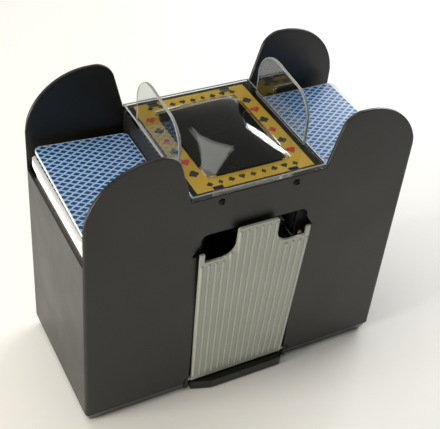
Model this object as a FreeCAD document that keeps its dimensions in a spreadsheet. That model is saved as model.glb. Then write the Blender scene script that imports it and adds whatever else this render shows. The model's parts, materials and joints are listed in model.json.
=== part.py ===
"""Automatic card shuffler, a parametric FreeCAD model.

Two decks stand in hoppers, one each side of a receiving chamber. A motor under each
hopper turns rubber feed rollers, which push the bottom card through a slit into a
pair of exit rollers, and the card drops into the chamber behind the front door.

Frame: millimetres, origin on the surface it stands on, below the middle of the case.
+X is to the right, -Y is the front with the door, +Z is up.
"""
import FreeCAD
import Part
import Sketcher
import math
import os
import re

Vector = FreeCAD.Vector

# ---------------------------------------------------------------- driving sizes
SIZES = {
    # cards
    "card_width": 63.5,             # across the hopper, along X
    "card_length": 88.9,            # along Y
    "stack_height": 50.2,
    "card_corner": 3.2,
    # case
    "wall": 2.4,
    "hopper_play": 1.35,            # card to end wall plus card to middle, along X
    "card_gap": 0.5,                # card to the middle's side wall
    "guide_play": 0.85,             # card to bearing plate, along Y
    "plate": 1.6,                   # bearing plate thickness
    "gear_space": 3.2,              # bearing plate to case wall
    "case_corner": 3.0,
    "joint_height": 9.3,            # where the case sits on the base pan
    "hopper_wall": 30.0,            # end walls above the hopper floor
    "centre_rise": 60.5,            # middle above the hopper floor
    "ear_rise": 37.5,               # ears above the middle
    "ear_peak": 9.9,                # slanted ear edge: how far out it is at the top
    "ear_outer_radius": 43.5,
    "ear_inner_radius": 14.0,
    "gate_lap": 1.0,                # gate below the middle's side wall
    "plate_slot_play": 0.3,
    "past": 1.0,                    # how far a cutter runs past the face that it opens
    # base pan, feet and fasteners
    "foot_height": 0.8,
    "foot_recess": 0.8,
    "foot_radius": 6.0,
    "foot_inset_end": 17.75,
    "foot_inset_side": 12.5,
    "pan_draft": 3.0,
    "pan_floor": 2.4,
    "lip_half": 36.0,
    "lip_reach": 4.5,
    "lip_height": 8.4,
    "lip_chamfer": 14.0,
    "lip_corner": 3.9,
    "screw_inset": 5.2,             # base screws, from the inside faces of the case
    "screw_radius": 1.25,
    "screw_head_radius": 2.6,
    "screw_head": 1.1,
    "screw_clearance": 0.15,
    "screw_head_lift": 0.1,         # heads above the pan's underside
    "screw_head_room": 0.2,
    "base_screw_short": 6.0,        # shorter than the pan's rim and the post together
    "boss_radius": 3.8,
    "boss_height": 16.0,
    "boss_end": 3.0,                # solid end of each screw post
    # receiving chamber
    "chamber_play": 0.75,           # card to chamber wall
    "chamber_wall": 1.4,
    "receiver_height": 10.5,
    "receiver_floor": 2.0,
    "receiver_gap": 1.5,            # from the door's hinge barrel
    "runner_width": 2.0,
    "runner_inset": 2.0,
    "chamber_wall_drop": 2.6,       # chamber walls below the tops of the exit rollers
    "plate_wall_gap": 0.4,          # bearing plate to chamber wall
    "guide_gap": 0.5,               # upper guide above the pinch rollers
    "guide_drop": 3.5,              # upper guide below the middle's top
    "guide_arm_drop": 14.0,
    "guide_arm_height": 8.0,
    "guide_arm_width": 3.0,
    "guide_sink": 0.5,              # arms into the guide's own wall
    # opening and door
    "opening_half": 38.0,
    "opening_rise": 31.0,           # opening's top above the hopper floor
    "opening_corner": 5.5,
    "catch_notch": 5.0,
    "catch_notch_top": 7.0,         # below the opening's top
    "catch_notch_tip": 15.0,
    "catch_notch_foot": 17.0,
    "hinge_height": 10.6,
    "hinge_depth": 2.2,             # hinge axis behind the front face
    "hinge_barrel": 2.0,
    "hinge_pin": 1.45,
    "hinge_play": 0.05,
    "hinge_stub": 5.0,
    "hinge_pin_short": 0.2,         # pins inside the lugs' outer faces
    "hinge_notch": 3.6,
    "lug_gap": 0.4,
    "lug_width": 2.6,
    "door_lean": 2.0,
    "door_plate": 1.6,
    "door_side_gap": 2.0,           # door's foot inside the opening
    "door_flare": 3.5,
    "door_lap": 2.6,                # tongue above the opening's top
    "door_shoulder_drop": 21.5,     # shoulders below the tongue's top
    "door_tab": 7.0,
    "door_tab_width": 3.0,
    "door_tongue_half": 14.5,
    "door_scallop": 10.0,
    "door_tongue_corner": 1.6,
    "bead_radius": 1.35,
    "bead_proud": 0.9,
    "bead_margin": 1.3,
    "bead_start": 4.0,
    "bead_end": 3.5,
    # top cover and label
    "cover_plate": 2.4,
    "cover_play": 0.2,
    "cover_rim": 0.9,
    "cover_rim_width": 1.5,
    "dome_lap": 2.0,                # dome past the label's window
    "dome_rise": 9.0,
    "dome_wall": 1.5,
    "fin_thickness": 2.0,
    "fin_inset": 2.5,               # fin centre, in from the side of the middle
    "fin_front": 28.5,
    "fin_back": 34.5,
    "fin_front_top": 34.0,          # above the cover's underside
    "fin_back_top": 39.5,
    "fin_front_radius": 18.0,
    "fin_back_radius": 20.0,
    "label_thickness": 0.4,
    "label_side": 6.0,              # label's edges in from the cover's edges
    "label_front": 5.0,
    "label_back": 3.0,
    "band_side": 12.5,              # printed bands round the window
    "band_front": 11.5,
    "band_back": 12.0,
    "cover_screw_x": 26.0,
    "cover_screw_drop": 5.5,
    "cover_screw_radius": 1.2,
    "cover_screw_head": 2.3,
    "cover_screw_head_height": 1.2,
    "cover_screw_length": 7.0,
    "cover_lug_width": 6.0,
    "cover_lug_drop": 9.0,
    "cover_lug_depth": 5.0,
    "cover_lug_sink": 0.5,
    "label_lug_play": 0.5,
    # hopper floor and feed
    "tray_top": 114.0,
    "tray_floor": 2.2,
    "tray_play": 0.15,
    "ledge_depth": 2.0,
    "ledge_height": 2.2,
    "ledge_start": 3.0,             # ledges start this far out from the middle
    "slot_play": 0.7,
    "stack_rest": 0.1,              # card stack above the feed tyres
    "gate_gap": 1.0,                # slit under the gate
    "gate_thickness": 0.5,
    "gate_height": 11.0,
    "gate_half": 16.0,
    # shafts, rollers and bushes
    "shaft_radius": 1.5,
    "running_play": 0.04,
    "bush_radius": 3.0,
    "bush_flange": 0.6,
    "bush_flange_radius": 4.0,
    "shaft_end": 0.9,               # shaft past the bearing plate at the front
    "roller_gap": 0.3,              # exit rollers to chamber wall
    "roller_room": 0.7,             # exit and pinch rollers to what lies outside them
    "exit_radius": 5.0,
    "exit_proud": 0.6,
    "exit_roller_y": 25.0,
    "exit_roller_width": 10.0,
    "pinch_radius": 4.2,
    "pinch_gap": 0.5,
    "feed_radius": 12.0,
    "feed_core_radius": 8.0,
    "feed_proud": 0.7,
    "feed_roller_y": 22.0,
    "feed_roller_width": 12.0,
    # gears
    "gear_module": 0.6,
    "gear_width": 2.2,
    "gear_backlash": 0.12,
    "gear_root_depth": 1.25,         # depth below the pitch circle, in modules
    "gear_pressure_angle": 20.0,
    "gear_mesh_gap": 0.05,
    "feed_teeth": 36,
    "idler_teeth": 44,
    "exit_teeth": 14,
    "pinion_teeth": 10,
    "idler_drop": 7.3,              # idler axis below the exit shaft
    # motors
    "motor_radius": 10.0,
    "motor_flat": 15.4,
    "motor_length": 25.0,
    "motor_boss_radius": 3.0,
    "motor_boss_play": 0.1,
    "motor_shaft": 1.0,
    "motor_bore_play": 0.05,
    "motor_screw_pitch": 12.0,
    "motor_screw_radius": 0.9,
    "motor_screw_depth": 4.0,
    "motor_screw_short": 0.1,
    "motor_screw_head": 1.62,
    "motor_screw_head_height": 0.35,
    "rotor_inset": 1.0,
    "idler_pin_stub": 0.4,          # pin inside the bearing plate
    "idler_pin_end": 0.3,           # pin past the gears
    "plate_hang": 62.0,             # bearing plates below the hopper floor
    "plate_rise": 28.0,             # bearing plates above the hopper floor
    # batteries
    "cell_radius": 13.1,
    "cell_length": 50.0,
    "cell_nub": 3.5,
    "cell_nub_height": 1.5,
    "cell_gap": 1.0,
    "battery_gap": 3.65,            # battery box to the pan's rim
    "battery_wall": 1.6,
    "battery_side_play": 0.4,
    "battery_end_play": 4.0,
    "battery_lift": 1.0,
    "battery_ledge": 1.0,
    "hatch_thickness": 2.0,
    "hatch_gap": 0.3,
    "hatch_barrel": 1.1,
    "hatch_pin": 0.6,
    "hatch_pin_play": 0.06,
    "hatch_pin_length": 3.0,
    "hatch_pin_sink": 0.5,
    "hatch_grip": 3.0,
    "hatch_grip_inset": 4.0,
    "hatch_grip_depth": 0.9,
    "contact_thickness": 0.5,
    "contact_size": 18.0,
    "spring_radius": 4.5,
    "spring_tip": 2.5,
    # push button and switch
    "button_x": 88.0,
    "button_drop": 38.7,            # below the feed shaft
    "button_radius": 7.0,
    "button_play": 0.2,
    "button_proud": 4.6,
    "button_round": 1.2,
    "button_flange": 1.6,
    "button_flange_thickness": 1.1,
    "button_wall_gap": 0.3,
    "button_sink": 0.2,
    "plunger_radius": 1.4,
    "plunger_play": 0.1,
    "plunger_length": 7.0,
    "plunger_room": 0.5,
    "switch_size": 12.0,
    "switch_depth": 8.0,
    "switch_back": 1.2,
}

# Places that several pieces share, in words made from the sizes above.
CHAMBER_HALF = "(card_width / 2 + chamber_play)"
EXIT_X = f"({CHAMBER_HALF} + chamber_wall + roller_gap + exit_radius)"
CENTRE_HALF = f"({EXIT_X} + pinch_radius + roller_room + wall)"
CASE_INSIDE = f"({CENTRE_HALF} + card_width + hopper_play)"
CASE_HALF = f"({CASE_INSIDE} + wall)"
END_WALL_TOP = "(tray_top + hopper_wall)"
CENTRE_TOP = "(tray_top + centre_rise)"
EAR_TOP = f"({CENTRE_TOP} + ear_rise)"
SLIT_WALL_BOTTOM = "(tray_top + gate_gap + gate_lap)"
PLATE_TOP = "(tray_top + plate_rise)"
PLATE_BOTTOM = "(tray_top - plate_hang)"
OPENING_TOP = "(tray_top + opening_rise)"
DOOR_HALF = "(opening_half - door_side_gap)"
DOOR_TONGUE = f"({OPENING_TOP} - hinge_height + door_lap)"
DOOR_SHOULDER = f"({DOOR_TONGUE} - door_shoulder_drop)"
PLATE_INSIDE = "(card_length / 2 + guide_play)"
PLATE_OUTSIDE = "(card_length / 2 + guide_play + plate)"
DEPTH_INSIDE = "(card_length / 2 + guide_play + plate + gear_space)"
DEPTH_HALF = "(card_length / 2 + guide_play + plate + gear_space + wall)"
PAN_TOP = "(foot_height + pan_floor)"
COVER_TOP = f"({CENTRE_TOP} + cover_plate)"
STACK_X = f"({CENTRE_HALF} + card_gap + card_width / 2)"
STACK_BASE = "(tray_top + feed_proud + stack_rest)"
TRAY_OUTER = f"({CASE_INSIDE} - tray_play)"
TRAY_INNER = f"({EXIT_X} + exit_radius + roller_room)"
TRAY_MIDDLE = f"(({TRAY_INNER} + {TRAY_OUTER}) / 2)"
EXIT_Z = "(tray_top + exit_proud - exit_radius)"
PINCH_Z = "(tray_top + exit_proud + pinch_gap + pinch_radius)"
FEED_Z = "(tray_top + feed_proud - feed_radius)"
IDLER_Z = f"({EXIT_Z} - idler_drop)"
EXIT_MESH = "(gear_module * (exit_teeth + idler_teeth) / 2 + gear_mesh_gap)"
FEED_MESH = "(gear_module * (feed_teeth + idler_teeth) / 2 + gear_mesh_gap)"
PINION_MESH = "(gear_module * (pinion_teeth + idler_teeth) / 2 + gear_mesh_gap)"
IDLER_X = f"({EXIT_X} + sqrt({EXIT_MESH} ^ 2 - idler_drop ^ 2))"
FEED_X = f"({IDLER_X} + sqrt({FEED_MESH} ^ 2 - ({FEED_Z} - {IDLER_Z}) ^ 2))"
MOTOR_Z = f"({IDLER_Z} - {PINION_MESH})"
GEAR_Y = f"({PLATE_OUTSIDE} + (gear_space - gear_width) / 2)"
SHAFT_BACK = f"({GEAR_Y} + gear_width)"
SHAFT_FRONT = f"({PLATE_OUTSIDE} + shaft_end)"
CELL_PITCH = "(2 * cell_radius + cell_gap)"
BATTERY_X_HALF = f"({CELL_PITCH} / 2 + cell_radius + battery_side_play)"
BATTERY_Y_HALF = "(cell_length / 2 + battery_end_play)"
BATTERY_X = f"({CASE_INSIDE} - pan_draft - battery_gap - battery_wall - {BATTERY_X_HALF})"
BATTERY_TOP = f"({PAN_TOP} + battery_lift + 2 * cell_radius + battery_side_play)"
HATCH_X_HALF = f"({BATTERY_X_HALF} - battery_ledge)"
HATCH_Y_HALF = f"({BATTERY_Y_HALF} - battery_ledge)"
HATCH_HINGE = f"({HATCH_X_HALF} + hatch_barrel)"
HATCH_Z = "(foot_height + 0.5 * pan_floor)"
SCREW_X = f"({CASE_INSIDE} - screw_inset)"
SCREW_Y = f"({DEPTH_INSIDE} - screw_inset)"
COVER_SCREW_Z = f"({CENTRE_TOP} - cover_screw_drop)"
LABEL_HALF = f"({CENTRE_HALF} - label_side)"
LABEL_FRONT = f"({DEPTH_HALF} - label_front)"
LABEL_BACK = f"({DEPTH_HALF} - label_back)"
WINDOW_HALF = f"({LABEL_HALF} - band_side)"
WINDOW_FRONT = f"({LABEL_FRONT} - band_front)"
WINDOW_BACK = f"({LABEL_BACK} - band_back)"
BUTTON_Z = f"({FEED_Z} - button_drop)"
HINGE_Y = f"(hinge_depth - {DEPTH_HALF})"
SWITCH_FACE = PLATE_INSIDE

SIDES = (("left", -1), ("right", 1))
BEAD_COUNT = 16
TALL_BEADS = 6

doc = FreeCAD.newDocument("card_shuffler")
sheet = doc.addObject("Spreadsheet::Sheet", "sizes")
for row, (alias, number) in enumerate(SIZES.items(), 1):
    sheet.set(f"A{row}", alias)
    sheet.set(f"B{row}", str(number))
    sheet.setAlias(f"B{row}", alias)
doc.recompute()

nodes = {}


# ---------------------------------------------------------------- helpers
def bound(text):
    """The expression with each size named as a cell of the sheet."""
    def cell(word):
        name = word.group()
        return f"sizes.{name}" if name in SIZES else name

    return re.sub(r"[a-z][a-z_0-9]*", cell, str(text))


def measure(text):
    """The number that an expression has now."""
    return float(sheet.evalExpression(str(text)))


def bind(thing, **properties):
    for name, text in properties.items():
        thing.setExpression(name, bound(text))
    return thing


def place(thing, x="0", y="0", z="0"):
    for axis, text in zip("xyz", (x, y, z)):
        thing.setExpression(f"Placement.Base.{axis}", bound(text))
    return thing


def block(size, centre, base):
    """A box from its size, the middle of its footprint and its lowest height."""
    box = doc.addObject("Part::Box", "block")
    bind(box, Length=size[0], Width=size[1], Height=size[2])
    return place(box, f"{centre[0]} - ({size[0]}) / 2", f"{centre[1]} - ({size[1]}) / 2", base)


TURNS = {
    "z": FreeCAD.Rotation(),
    "y": FreeCAD.Rotation(Vector(1, 0, 0), -90),
    "x": FreeCAD.Rotation(Vector(0, 1, 0), 90),
}


def rod(radius, length, start, axis="z"):
    """A cylinder that runs from start along the positive axis."""
    cylinder = doc.addObject("Part::Cylinder", "rod")
    cylinder.Placement = FreeCAD.Placement(Vector(), TURNS[axis])
    bind(cylinder, Radius=radius, Height=length)
    return place(cylinder, *start)


def ball(radius, centre):
    sphere = doc.addObject("Part::Sphere", "ball")
    bind(sphere, Radius=radius)
    return place(sphere, *centre)


def join(pieces):
    fused = doc.addObject("Part::MultiFuse", "join")
    fused.Shapes = list(pieces)
    return fused


def group(pieces):
    """Separate solids kept side by side in one sub-part."""
    together = doc.addObject("Part::Compound", "group")
    together.Links = list(pieces)
    return together


def cut(base, tools):
    """The base with each tool taken away."""
    tools = list(tools)
    result = doc.addObject("Part::Cut", "cut")
    result.Base = base
    result.Tool = tools[0] if len(tools) == 1 else join(tools)
    return result


def overlap(pieces):
    shared = doc.addObject("Part::MultiCommon", "overlap")
    shared.Shapes = list(pieces)
    return shared


def polygon(body, plane, corners):
    """A closed polygon sketch on one of the body's own planes, each corner bound to the sheet."""
    sketch = body.newObject("Sketcher::SketchObject", "sketch")
    role = f"{plane}_Plane"
    sketch.AttachmentSupport = [(next(f for f in body.Origin.OriginFeatures if f.Role == role), "")]
    sketch.MapMode = "FlatFace"
    points = [Vector(measure(a), measure(b), 0) for a, b in corners]
    count = len(points)
    for i in range(count):
        sketch.addGeometry(Part.LineSegment(points[i], points[(i + 1) % count]), False)
    for i in range(count):
        sketch.addConstraint(Sketcher.Constraint("Coincident", i, 2, (i + 1) % count, 1))
    for i, corner in enumerate(corners):
        for kind, text, now in zip(("DistanceX", "DistanceY"), corner, points[i]):
            number = sketch.addConstraint(Sketcher.Constraint(kind, -1, 1, i, 1, now))
            sketch.setExpression(f"Constraints[{number}]", bound(text))
    return sketch, points


def rounded(body, base, edges, radius):
    """Fillet the edges that pass a test, on top of the body's last feature."""
    names = [f"Edge{i}" for i, edge in enumerate(base.Shape.Edges, 1) if edges(edge)]
    fillet = body.newObject("PartDesign::Fillet", "round")
    fillet.Base = (base, names)
    bind(fillet, Radius=radius)
    doc.recompute()
    return fillet


def outline(plane, corners, depth, rounds=(), draft="0"):
    """A body padded from a polygon sketch.

    rounds holds (corner number, radius expression) for each corner to be rounded.
    draft is the angle by which the pad widens as it rises.
    """
    body = doc.addObject("PartDesign::Body", "body")
    sketch, points = polygon(body, plane, corners)
    pad = body.newObject("PartDesign::Pad", "pad")
    pad.Profile = sketch
    bind(pad, Length=depth, TaperAngle=draft)
    doc.recompute()
    last = pad
    for number, radius in rounds:
        last = rounded(body, last, lambda edge: runs_up_from(plane, edge, points[number]), radius)
    return body


def runs_up_from(plane, edge, spot):
    """Whether an edge of the pad leaves its sketch at the given corner."""
    ends = (edge.Vertexes[0].Point, edge.Vertexes[-1].Point)
    first, last = ((p.x, p.y, p.z) if plane == "XY" else (p.x, p.z, p.y) for p in ends)
    climbs = abs(first[2] - last[2]) > 1e-4
    return climbs and any(abs(x - spot.x) < 1e-4 and abs(y - spot.y) < 1e-4 for x, y, _ in (first, last))


def add_node(name, thing):
    thing.Label = name
    nodes[name] = thing
    return thing


# ---------------------------------------------------------------- gear teeth
def involute(base_radius, radius):
    """The angle that an involute has turned through where it reaches a radius."""
    return math.sqrt(max((radius / base_radius) ** 2 - 1, 0)) - math.acos(min(base_radius / radius, 1))


def gear_wire(teeth, phase):
    """A closed involute outline in X and Z, one tooth centred at the phase angle."""
    module = measure("gear_module")
    pitch = module * teeth / 2
    tip = pitch + module
    root = pitch - measure("gear_root_depth") * module
    base = pitch * math.cos(math.radians(measure("gear_pressure_angle")))
    half = (math.pi * module / 2 - measure("gear_backlash")) / 2 / pitch + involute(base, pitch)
    start = max(base, root)
    foot = half - involute(base, start)
    radii = [start + (tip - start) * i / 4 for i in range(5)]

    def at(radius, angle):
        return Vector(radius * math.cos(angle), 0, radius * math.sin(angle))

    edges = []
    for tooth in range(teeth):
        middle = phase + 2 * math.pi * tooth / teeth
        rising = [at(r, middle - half + involute(base, r)) for r in radii]
        falling = [at(r, middle + half - involute(base, r)) for r in reversed(radii)]
        next_foot = middle + 2 * math.pi / teeth - foot
        if root < start:
            edges.append(Part.LineSegment(at(root, middle - foot), rising[0]).toShape())
        for flank in (rising, falling):
            curve = Part.BSplineCurve()
            curve.interpolate(flank)
            edges.append(curve.toShape())
            if flank is rising:
                edges.append(Part.Arc(rising[-1], at(tip, middle), falling[0]).toShape())
        if root < start:
            edges.append(Part.LineSegment(falling[-1], at(root, middle + foot)).toShape())
        gap = (middle + foot + next_foot) / 2
        edges.append(Part.Arc(at(root, middle + foot), at(root, gap), at(root, next_foot)).toShape())
    return Part.Wire(edges)


def gear(teeth, phase, bore, x, z):
    """A spur gear on an axis along Y, behind the rear bearing plate."""
    width = measure("gear_width")
    disc = Part.Face(gear_wire(teeth, phase)).extrude(Vector(0, width, 0))
    hole = Part.makeCylinder(bore, width, Vector(), Vector(0, 1, 0))
    feature = doc.addObject("Part::Feature", "gear")
    feature.Shape = disc.cut(hole)
    feature.Placement = FreeCAD.Placement(Vector(x, measure(GEAR_Y), z), FreeCAD.Rotation())
    return feature


def meshing_phase(phase, teeth, centre, other_teeth, other_centre):
    """The phase of the other gear that puts a gap where this gear has a tooth."""
    line = math.atan2(other_centre[1] - centre[1], other_centre[0] - centre[0])
    return line + math.pi + (line - phase) * teeth / other_teeth + math.pi / other_teeth


# ---------------------------------------------------------------- case
def front_profile():
    """Half the outline of the front and rear walls, from the bottom up to the middle."""
    half = CASE_HALF
    return [
        (half, "joint_height"),
        (half, EAR_TOP),
        (f"{CENTRE_HALF} + ear_peak", EAR_TOP),
        (CENTRE_HALF, CENTRE_TOP),
    ]


def face_wall(front):
    right = front_profile()
    corners = right + [(f"-({x})", z) for x, z in reversed(right)]
    rounds = [(1, "ear_outer_radius"), (2, "ear_inner_radius")]
    rounds += [(len(corners) - 1 - number, radius) for number, radius in rounds]
    body = outline("XZ", corners, "wall", rounds)
    return place(body, y=f"wall - {DEPTH_HALF}" if front else DEPTH_HALF)


def rounded_column(x_half, y_half, radius, base, top):
    """An upright prism with rounded corners."""
    corners = [(f"{a} * {x_half}", f"{b} * {y_half}") for a, b in ((-1, -1), (1, -1), (1, 1), (-1, 1))]
    body = outline("XY", corners, f"{top} - ({base})", [(i, radius) for i in range(4)])
    return place(body, z=base)


def opening_cutter():
    """The door opening: a tall window with a catch notch near each upper corner."""
    half = "opening_half"
    notch = f"{half} + catch_notch"
    foot = f"{half} + hinge_notch"
    foot_top = "hinge_height + hinge_barrel + 2 * lug_gap"
    right = [
        (foot, "joint_height - past"),
        (foot, foot_top),
        (half, foot_top),
        (half, f"{OPENING_TOP} - catch_notch_foot"),
        (notch, f"{OPENING_TOP} - catch_notch_tip"),
        (half, f"{OPENING_TOP} - catch_notch_top"),
        (half, OPENING_TOP),
    ]
    corners = right + [(f"-({x})", z) for x, z in reversed(right)]
    last = len(right) - 1
    body = outline("XZ", corners, "3 * wall", [(last, "opening_corner"), (last + 1, "opening_corner")])
    return place(body, y=f"2 * wall - {DEPTH_HALF}")


def outer_case():
    end_height = f"{END_WALL_TOP} - joint_height"
    tube = cut(
        block((f"2 * {CASE_HALF}", f"2 * {DEPTH_HALF}", end_height), ("0", "0"), "joint_height"),
        [block((f"2 * {CASE_INSIDE}", f"2 * {DEPTH_INSIDE}", f"{end_height} + 2 * past"), ("0", "0"),
               "joint_height - past")],
    )
    pieces = [tube, face_wall(True), face_wall(False)]
    for _, sign in SIDES:
        side_x = f"{sign} * ({CENTRE_HALF} - wall / 2)"
        pieces.append(
            block(("wall", f"2 * {DEPTH_INSIDE}", f"{CENTRE_TOP} - {SLIT_WALL_BOTTOM}"), (side_x, "0"),
                  SLIT_WALL_BOTTOM)
        )
        for end in (-1, 1):
            post = ("2 * screw_inset", "2 * screw_inset", "boss_height")
            pieces.append(block(post, (f"{sign} * {SCREW_X}", f"{end} * {SCREW_Y}"), "joint_height"))
    envelope = rounded_column(CASE_HALF, DEPTH_HALF, "case_corner", "0", f"{EAR_TOP} + past")
    shell = overlap([join(pieces), envelope])
    cutters = [opening_cutter()]
    slot_height = f"{PLATE_TOP} + plate_slot_play - {SLIT_WALL_BOTTOM} + past"
    slot = ("2 * wall", "plate + plate_slot_play", slot_height)
    for _, sign in SIDES:
        side_x = f"{sign} * ({CENTRE_HALF} - wall / 2)"
        for end in (-1, 1):
            plate_y = f"{end} * ({PLATE_INSIDE} + plate / 2)"
            cutters.append(block(slot, (side_x, plate_y), f"{SLIT_WALL_BOTTOM} - past"))
            start = (f"{sign} * {SCREW_X}", f"{end} * {SCREW_Y}", "joint_height - past")
            cutters.append(rod("screw_radius", "boss_height + past - boss_end", start))
            hole = (f"{sign} * cover_screw_x", f"{end} * {DEPTH_HALF} - 1.5 * wall", COVER_SCREW_Z)
            cutters.append(rod("cover_screw_radius + screw_clearance", "3 * wall", hole, "y"))
    button = ("button_x", f"{DEPTH_INSIDE} - past", BUTTON_Z)
    cutters.append(rod("button_radius + button_play", "2 * wall", button, "y"))
    return cut(shell, cutters)


# ---------------------------------------------------------------- base pan
def tapered_column():
    """The pan's outside: wider at the top by the draft on every side."""
    x_half = f"({CASE_HALF} - pan_draft)"
    y_half = f"({DEPTH_HALF} - pan_draft)"
    body = outline(
        "XY",
        [(f"{a} * {x_half}", f"{b} * {y_half}") for a, b in ((-1, -1), (1, -1), (1, 1), (-1, 1))],
        "joint_height - foot_height",
        [(i, "case_corner") for i in range(4)],
        "atan(pan_draft / (joint_height - foot_height))",
    )
    return place(body, z="foot_height")


def front_lip():
    front = f"-({DEPTH_HALF} + lip_reach)"
    face = f"-{DEPTH_HALF}"
    back = f"-({DEPTH_INSIDE} - pan_draft)"
    corners = [
        ("-lip_half", back),
        ("-lip_half", face),
        ("lip_chamfer - lip_half", front),
        ("lip_half", front),
        ("lip_half", back),
    ]
    return place(outline("XY", corners, "lip_height - foot_height", [(3, "lip_corner")]), z="foot_height")


def hinge_lugs():
    """Two ears on the pan's floor that carry the door's pins."""
    lugs = []
    for _, sign in SIDES:
        height = f"hinge_height + hinge_barrel + lug_gap - {PAN_TOP}"
        x = f"{sign} * ({DOOR_HALF} + hinge_stub - lug_width / 2)"
        lugs.append(block(("lug_width", "2 * hinge_depth - lug_gap", height), (x, HINGE_Y), PAN_TOP))
    bore = rod("hinge_pin + hinge_play", f"2 * ({DOOR_HALF} + hinge_stub + past)",
               (f"-({DOOR_HALF} + hinge_stub + past)", HINGE_Y, "hinge_height"), "x")
    return cut(join(lugs), [bore])


def hatch_pins():
    """Short pins in the pan's floor that the battery hatches turn on."""
    pins = []
    for _, sign in SIDES:
        for end in (-1, 1):
            middle = f"{end} * ({HATCH_Y_HALF} - hatch_pin_length / 2 + hatch_pin_sink)"
            start_y = f"{middle} - hatch_pin_length / 2 - hatch_pin_sink"
            start = (f"{sign} * ({BATTERY_X} + {HATCH_HINGE})", start_y, HATCH_Z)
            pins.append(rod("hatch_pin", "hatch_pin_length + 2 * hatch_pin_sink", start, "y"))
    return pins


def base_pan():
    room = (f"2 * ({CASE_INSIDE} - pan_draft)", f"2 * ({DEPTH_INSIDE} - pan_draft)", "joint_height")
    hollow = block(room, ("0", "0"), PAN_TOP)
    solids = [cut(tapered_column(), [hollow]), front_lip()]
    below = "foot_height - past"
    cutters = []
    for _, sign in SIDES:
        window = (f"2 * {HATCH_X_HALF}", f"2 * {HATCH_Y_HALF}", "3 * pan_floor")
        cutters.append(block(window, (f"{sign} * {BATTERY_X}", "0"), "0"))
        hinge_room = ("2 * (hatch_barrel + hatch_gap)", f"2 * {HATCH_Y_HALF}", "3 * pan_floor")
        cutters.append(block(hinge_room, (f"{sign} * ({BATTERY_X} + {HATCH_HINGE})", "0"), "0"))
        for end in (-1, 1):
            foot_x = f"{sign} * ({CASE_HALF} - foot_inset_end)"
            foot_y = f"{end} * ({DEPTH_HALF} - foot_inset_side)"
            cutters.append(rod("foot_radius", "foot_recess + past", (foot_x, foot_y, below)))
            x, y = f"{sign} * {SCREW_X}", f"{end} * {SCREW_Y}"
            solids.append(rod("boss_radius", f"joint_height - {PAN_TOP}", (x, y, PAN_TOP)))
            cutters.append(rod("screw_radius + screw_clearance", "joint_height + past", (x, y, "0")))
            head_room = "screw_head + screw_head_room + past"
            cutters.append(rod("screw_head_radius + screw_clearance", head_room, (x, y, below)))
    sill = "hinge_height - hinge_barrel - lug_gap"
    room = (f"2 * ({DOOR_HALF} + hinge_stub + lug_gap)", "4 * hinge_depth", "joint_height")
    cutters.append(block(room, ("0", f"-{DEPTH_HALF}"), sill))
    return join([cut(join(solids), cutters), hinge_lugs()] + hatch_pins())


def rubber_feet():
    feet = []
    for _, sign in SIDES:
        for end in (-1, 1):
            x = f"{sign} * ({CASE_HALF} - foot_inset_end)"
            y = f"{end} * ({DEPTH_HALF} - foot_inset_side)"
            feet.append(rod("foot_radius", "foot_height + foot_recess", (x, y, "0")))
    return group(feet)


def base_screws():
    screws = []
    for _, sign in SIDES:
        for end in (-1, 1):
            x, y = f"{sign} * {SCREW_X}", f"{end} * {SCREW_Y}"
            base = (x, y, "foot_height + screw_head_lift")
            head = rod("screw_head_radius", "screw_head", base)
            shank = rod("screw_radius", "joint_height + boss_height - base_screw_short", base)
            screws.append(join([head, shank]))
    return group(screws)


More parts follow.
